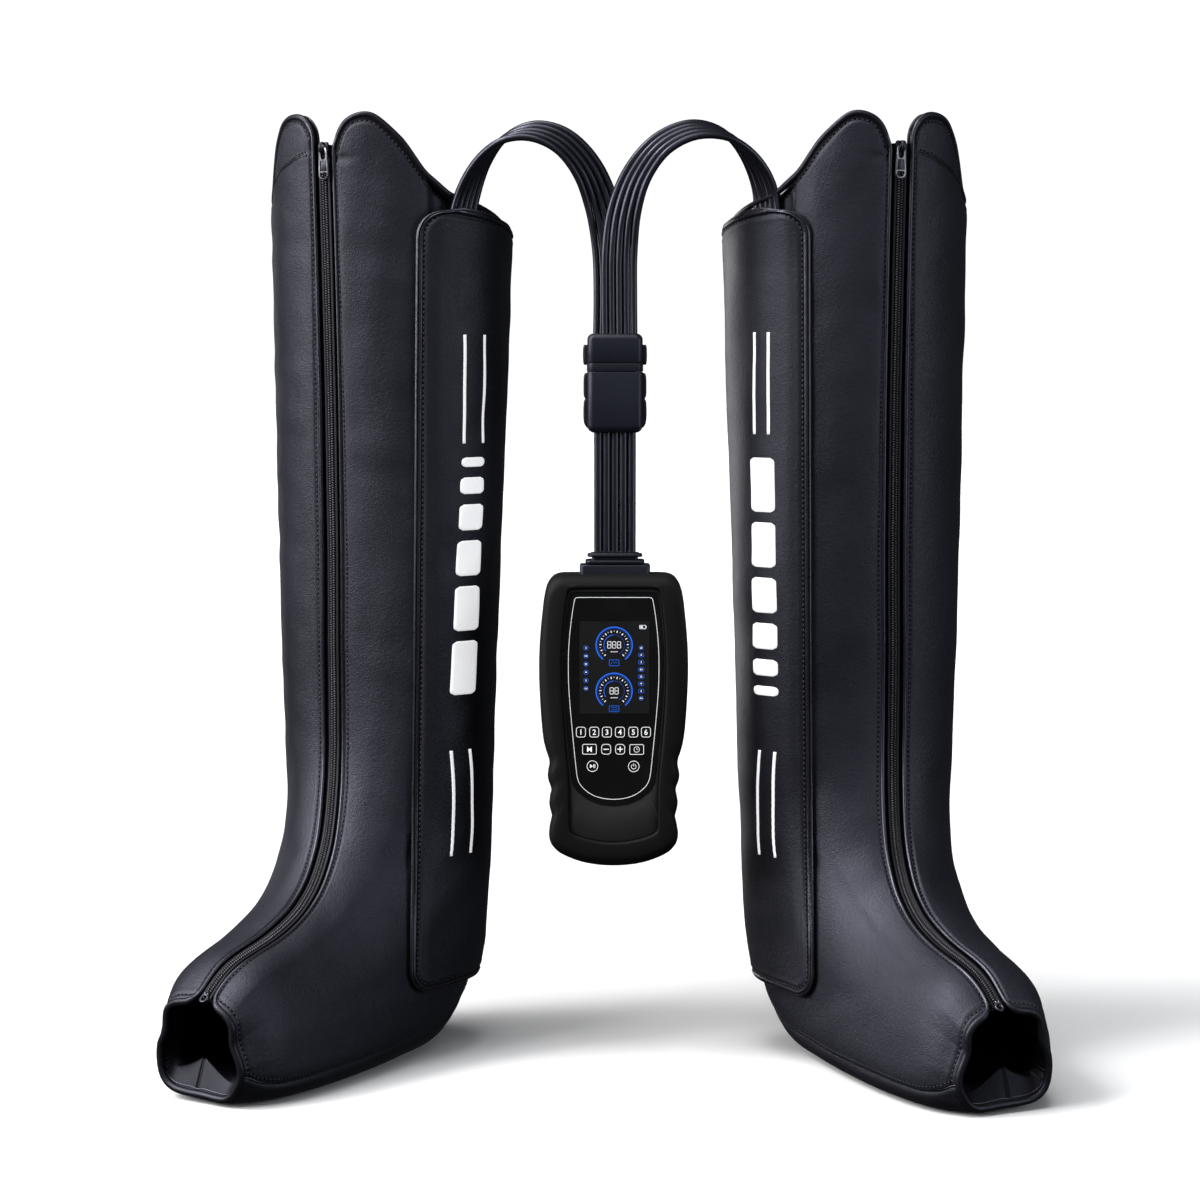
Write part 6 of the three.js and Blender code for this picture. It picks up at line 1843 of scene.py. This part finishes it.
def seven(cx, cz, w, h, name, count, mat="white"):
    polys = []
    t = w * 0.15
    for k in range(count):
        x = cx + (k - (count - 1) / 2) * w * 1.42
        l, r_ = x - w / 2, x + w / 2
        for zc in (cz + h / 2, cz, cz - h / 2):
            polys.append([[l + t * 0.6, zc - t / 2], [r_ - t * 0.6, zc - t / 2], [r_ - t * 0.3, zc], [r_ - t * 0.6, zc + t / 2], [l + t * 0.6, zc + t / 2], [l + t * 0.3, zc]])
        for xx in (l, r_):
            for za, zb in ((cz + t * 0.45, cz + h / 2 - t * 0.45), (cz - h / 2 + t * 0.45, cz - t * 0.45)):
                polys.append([[xx - t / 2, za], [xx + t / 2, za], [xx + t / 2, zb], [xx - t / 2, zb]])
    return flat_mesh(name, polys, YS, mat, thick=0.05, body="hand_unit")


def on_screen(name, P, w, mat, closed=True, up=0.0):
    return ribbon_ring(name, P, w, YS - up, mat, "hand_unit", closed=closed, thick=0.05)


for tag, gz, digits in (("upper", 363.6, 3), ("lower", 324.6, 2)):
    gx = PX + 0.4
    on_screen(f"dial_{tag}_arc", arc_pts(gx, gz, 15.2, -52, 232, 90), 0.95, "blue", closed=False)
    on_screen(f"dial_{tag}_rim", arc_pts(gx, gz, 13.9, -50, 230, 80), 0.25, "blue_dim", closed=False)
    on_screen(f"dial_{tag}_inner_arc", arc_pts(gx, gz, 8.6, 95, 215, 50), 0.5, "blue", closed=False)
    on_screen(f"dial_{tag}_inner_ring", arc_pts(gx, gz, 8.6, -60, 94, 50), 0.3, "blue_dim", closed=False)
    ticks = []
    for k in range(23):
        a = math.radians(-48 + 276 * k / 22)
        big = k % 2 == 0
        r0, r1 = (10.6 if big else 11.4), 12.4
        c, s_ = math.cos(a), math.sin(a)
        w = 0.34 if big else 0.16
        ticks.append([[gx + r0 * c - w * s_, gz + r0 * s_ + w * c], [gx + r0 * c + w * s_, gz + r0 * s_ - w * c], [gx + r1 * c + w * s_, gz + r1 * s_ - w * c], [gx + r1 * c - w * s_, gz + r1 * s_ + w * c]])
    flat_mesh(f"dial_{tag}_ticks", ticks, YS, "white", thick=0.05, body="hand_unit")
    seven(gx, gz + 0.2, 2.9, 5.4, f"dial_{tag}_digits", digits)
    # a small unlabelled bar where the unit stands
    flat_mesh(f"dial_{tag}_unit", [rounded_rect(gx + dx, gz - 5.6, 1.1, 0.6, 0.2, 2) for dx in (-2.4, -0.8, 0.8, 2.4)], YS, "white", thick=0.05, body="hand_unit")
    bz = gz - 15.0
    on_screen(f"dial_{tag}_box", rounded_rect(gx, bz, 8.2, 5.0, 0.5, 3), 0.35, "blue")
    if tag == "upper":
        poly = [[gx - 2.6, bz - 1.1], [gx - 1.2, bz + 1.1], [gx + 0.2, bz - 0.5], [gx + 1.6, bz + 1.1], [gx + 2.6, bz - 0.4]]
    else:
        poly = [[gx - 2.4, bz - 0.9], [gx + 2.4, bz - 0.9], [gx + 2.4, bz + 0.9], [gx - 2.4, bz + 0.9]]
    on_screen(f"dial_{tag}_box_sign", poly, 0.3, "blue", closed=False, up=0.01)

# icon columns: a thin blue outline with a small plain white sign in it
icons_w, rings_b = [], []
for k in range(6):
    rings_b.append((PX - 23.3, 361.3 - k * 6.9, 3.6, 3.4, 1.5))
for k in range(8):
    rings_b.append((PX + 23.2, 361.3 - k * 6.1, 4.6 if k % 7 else 3.4, 3.2, 1.4))
quads = []
for k, (x, z, w, h, r) in enumerate(rings_b):
    quads += ribbon_polys(rounded_rect(x, z, w, h, r, 4), 0.3, closed=True)
    kind = k % 4
    if kind == 0:
        icons_w.append(rounded_rect(x, z, 0.55, 1.7, 0.2, 2))
    elif kind == 1:
        icons_w.append(rounded_rect(x - 0.7, z, 0.6, 1.4, 0.2, 2)); icons_w.append(rounded_rect(x + 0.7, z, 0.6, 1.4, 0.2, 2))
    elif kind == 2:
        icons_w.append(rounded_rect(x, z + 0.45, 1.8, 0.45, 0.15, 2)); icons_w.append(rounded_rect(x, z - 0.45, 1.8, 0.45, 0.15, 2))
    else:
        icons_w.append(rounded_rect(x, z, 1.7, 0.55, 0.2, 2)); icons_w.append(rounded_rect(x, z + 0.8, 0.5, 0.5, 0.2, 2))
flat_mesh("display_icons_white", icons_w, YS - 0.02, "white", thick=0.05, body="hand_unit")
flat_mesh("display_icons_blue", quads, YS, "blue", thick=0.05, body="hand_unit")
bx, bz = PX + 24.4, 378.9
on_screen("display_battery", rounded_rect(bx, bz, 5.2, 2.8, 0.3, 2), 0.4, "white")
flat_mesh("display_battery_fill", [rounded_rect(bx - 0.9, bz, 2.0, 1.4, 0.1, 2), rounded_rect(bx + 3.0, bz, 0.5, 1.3, 0.1, 2)], YS - 0.01, "white", thick=0.05, body="hand_unit")

# CAD nodes that stay, with their finish
KEEP = {
    "pump_front_panel": "panel", "pump_display": "screen", "pump_rear_housing": "housing",
    "key_membrane": "rubber", "control_board": "board", "battery_pack": "cell", "air_pump_motor": "steel",
    "air_pump_eccentric": "plastic", "air_pump_head": "plastic", "valve_block": "plastic", "charge_port": "plastic",
}
for i in range(4):
    KEEP[f"pump_screw_{i + 1}"] = "steel"
for nm, *_ in KEYS:
    KEEP["key_" + nm] = "key"
for nd, mt in KEEP.items():
    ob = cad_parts[nd]
    if not ob.material_slots:
        ob.data.materials.append(MAT[mt])
    for sl in ob.material_slots:
        sl.link = "OBJECT"
        sl.material = MAT[mt]

# ------------------------------------------------------------------ room and light
def area(name, loc, target, size, power, colour=(1, 1, 1), size_y=None, spread=None):
    L = bpy.data.lights.new(name, "AREA")
    L.shape = "RECTANGLE"
    L.size = size
    L.size_y = size_y or size
    L.energy = power
    L.color = colour
    if spread:
        L.spread = spread
    o = bpy.data.objects.new(name, L)
    o.location = loc
    d = Vector(target) - Vector(loc)
    o.rotation_euler = d.to_track_quat("-Z", "Y").to_euler()
    SCENE.collection.objects.link(o)
    return o


m, nt, b, co = new_mat("floor_white")
nz = noise(nt, co, 3.0, 2, 0.5)
nt.links.new(ramp(nt, nz, [(0.3, (0.955, 0.955, 0.955)), (0.7, (0.97, 0.97, 0.97))]), b.inputs["Base Color"])
b.inputs["Roughness"].default_value = 0.55
b.inputs["Specular IOR Level"].default_value = 0.3
# far from the set the sweep is lit up to plain white
ln = nt.nodes.new("ShaderNodeVectorMath")
ln.operation = "LENGTH"
nt.links.new(co, ln.inputs[0])
nt.links.new(mrange(nt, ln.outputs["Value"], 1.2, 3.0, 0.0, 0.35), b.inputs["Emission Strength"])
b.inputs["Emission Color"].default_value = (1, 1, 1, 1)
MAT["floor"] = m
bm = bmesh.new()
bmesh.ops.create_grid(bm, x_segments=2, y_segments=2, size=30.0)
me = bpy.data.meshes.new("floor")
bm.to_mesh(me)
bm.free()
fl = link(me, "floor", "floor", smooth=False)
fl.location = (0, 0, -0.0002)
# the white sweep is lit for the eye only: it throws no light back on the dark leather
fl.visible_diffuse = False
fl.visible_glossy = False

world = bpy.data.worlds.new("world")
SCENE.world = world
world.use_nodes = True
wn = world.node_tree
wn.nodes.clear()
out = wn.nodes.new("ShaderNodeOutputWorld")
mixw = wn.nodes.new("ShaderNodeMixShader")
bg1 = wn.nodes.new("ShaderNodeBackground")
bg2 = wn.nodes.new("ShaderNodeBackground")
lp = wn.nodes.new("ShaderNodeLightPath")
bg1.inputs[0].default_value = (0.92, 0.95, 1.0, 1)
bg1.inputs[1].default_value = 0.045
bg2.inputs[0].default_value = (1, 1, 1, 1)
bg2.inputs[1].default_value = 1.05
wn.links.new(lp.outputs["Is Camera Ray"], mixw.inputs[0])
wn.links.new(bg1.outputs[0], mixw.inputs[1])
wn.links.new(bg2.outputs[0], mixw.inputs[2])
wn.links.new(mixw.outputs[0], out.inputs[0])

def sun(name, toward, strength, angle, colour=(1, 1, 1)):
    L = bpy.data.lights.new(name, "SUN")
    L.energy = strength
    L.angle = math.radians(angle)
    L.color = colour
    o = bpy.data.objects.new(name, L)
    o.rotation_euler = Vector(toward).to_track_quat("-Z", "Y").to_euler()
    SCENE.collection.objects.link(o)
    return o


sun("top_sun", (0.36, 0.12, -1.0), 2.28, 55)
sun("key_sun", (0.80, 0.22, -1.0), 1.56, 16)
area("key_left", (-2.5, -1.75, 1.75), (0, 0, 0.55), 1.2, 70, (1.0, 0.99, 1.0), 1.7)
area("side_left", (-3.0, -0.35, 1.3), (0, 0, 0.5), 1.1, 55, (1.0, 0.99, 1.0), 1.8)
area("fill_front", (0.7, -3.1, 1.4), (0, 0, 0.45), 1.6, 7, (0.90, 0.95, 1.0), 1.6)
area("fill_right", (2.5, -1.3, 0.85), (0, 0, 0.45), 1.2, 21, (0.90, 0.95, 1.0), 1.8)
# low light behind the left boot: it picks out the side of the right boot that faces it
o = area("rim_left", (-0.62, 1.05, 0.50), (0.20, 0, 0.47), 0.32, 0.28, (1.0, 0.99, 1.0), 0.9, 0.60)
o.visible_camera = False
area("overhead", (0.35, -1.5, 2.6), (0, 0, 0.15), 1.6, 9, (0.98, 0.98, 1.0), 1.0)
SCENE.view_settings.view_transform = "Standard"
SCENE.view_settings.look = "None"
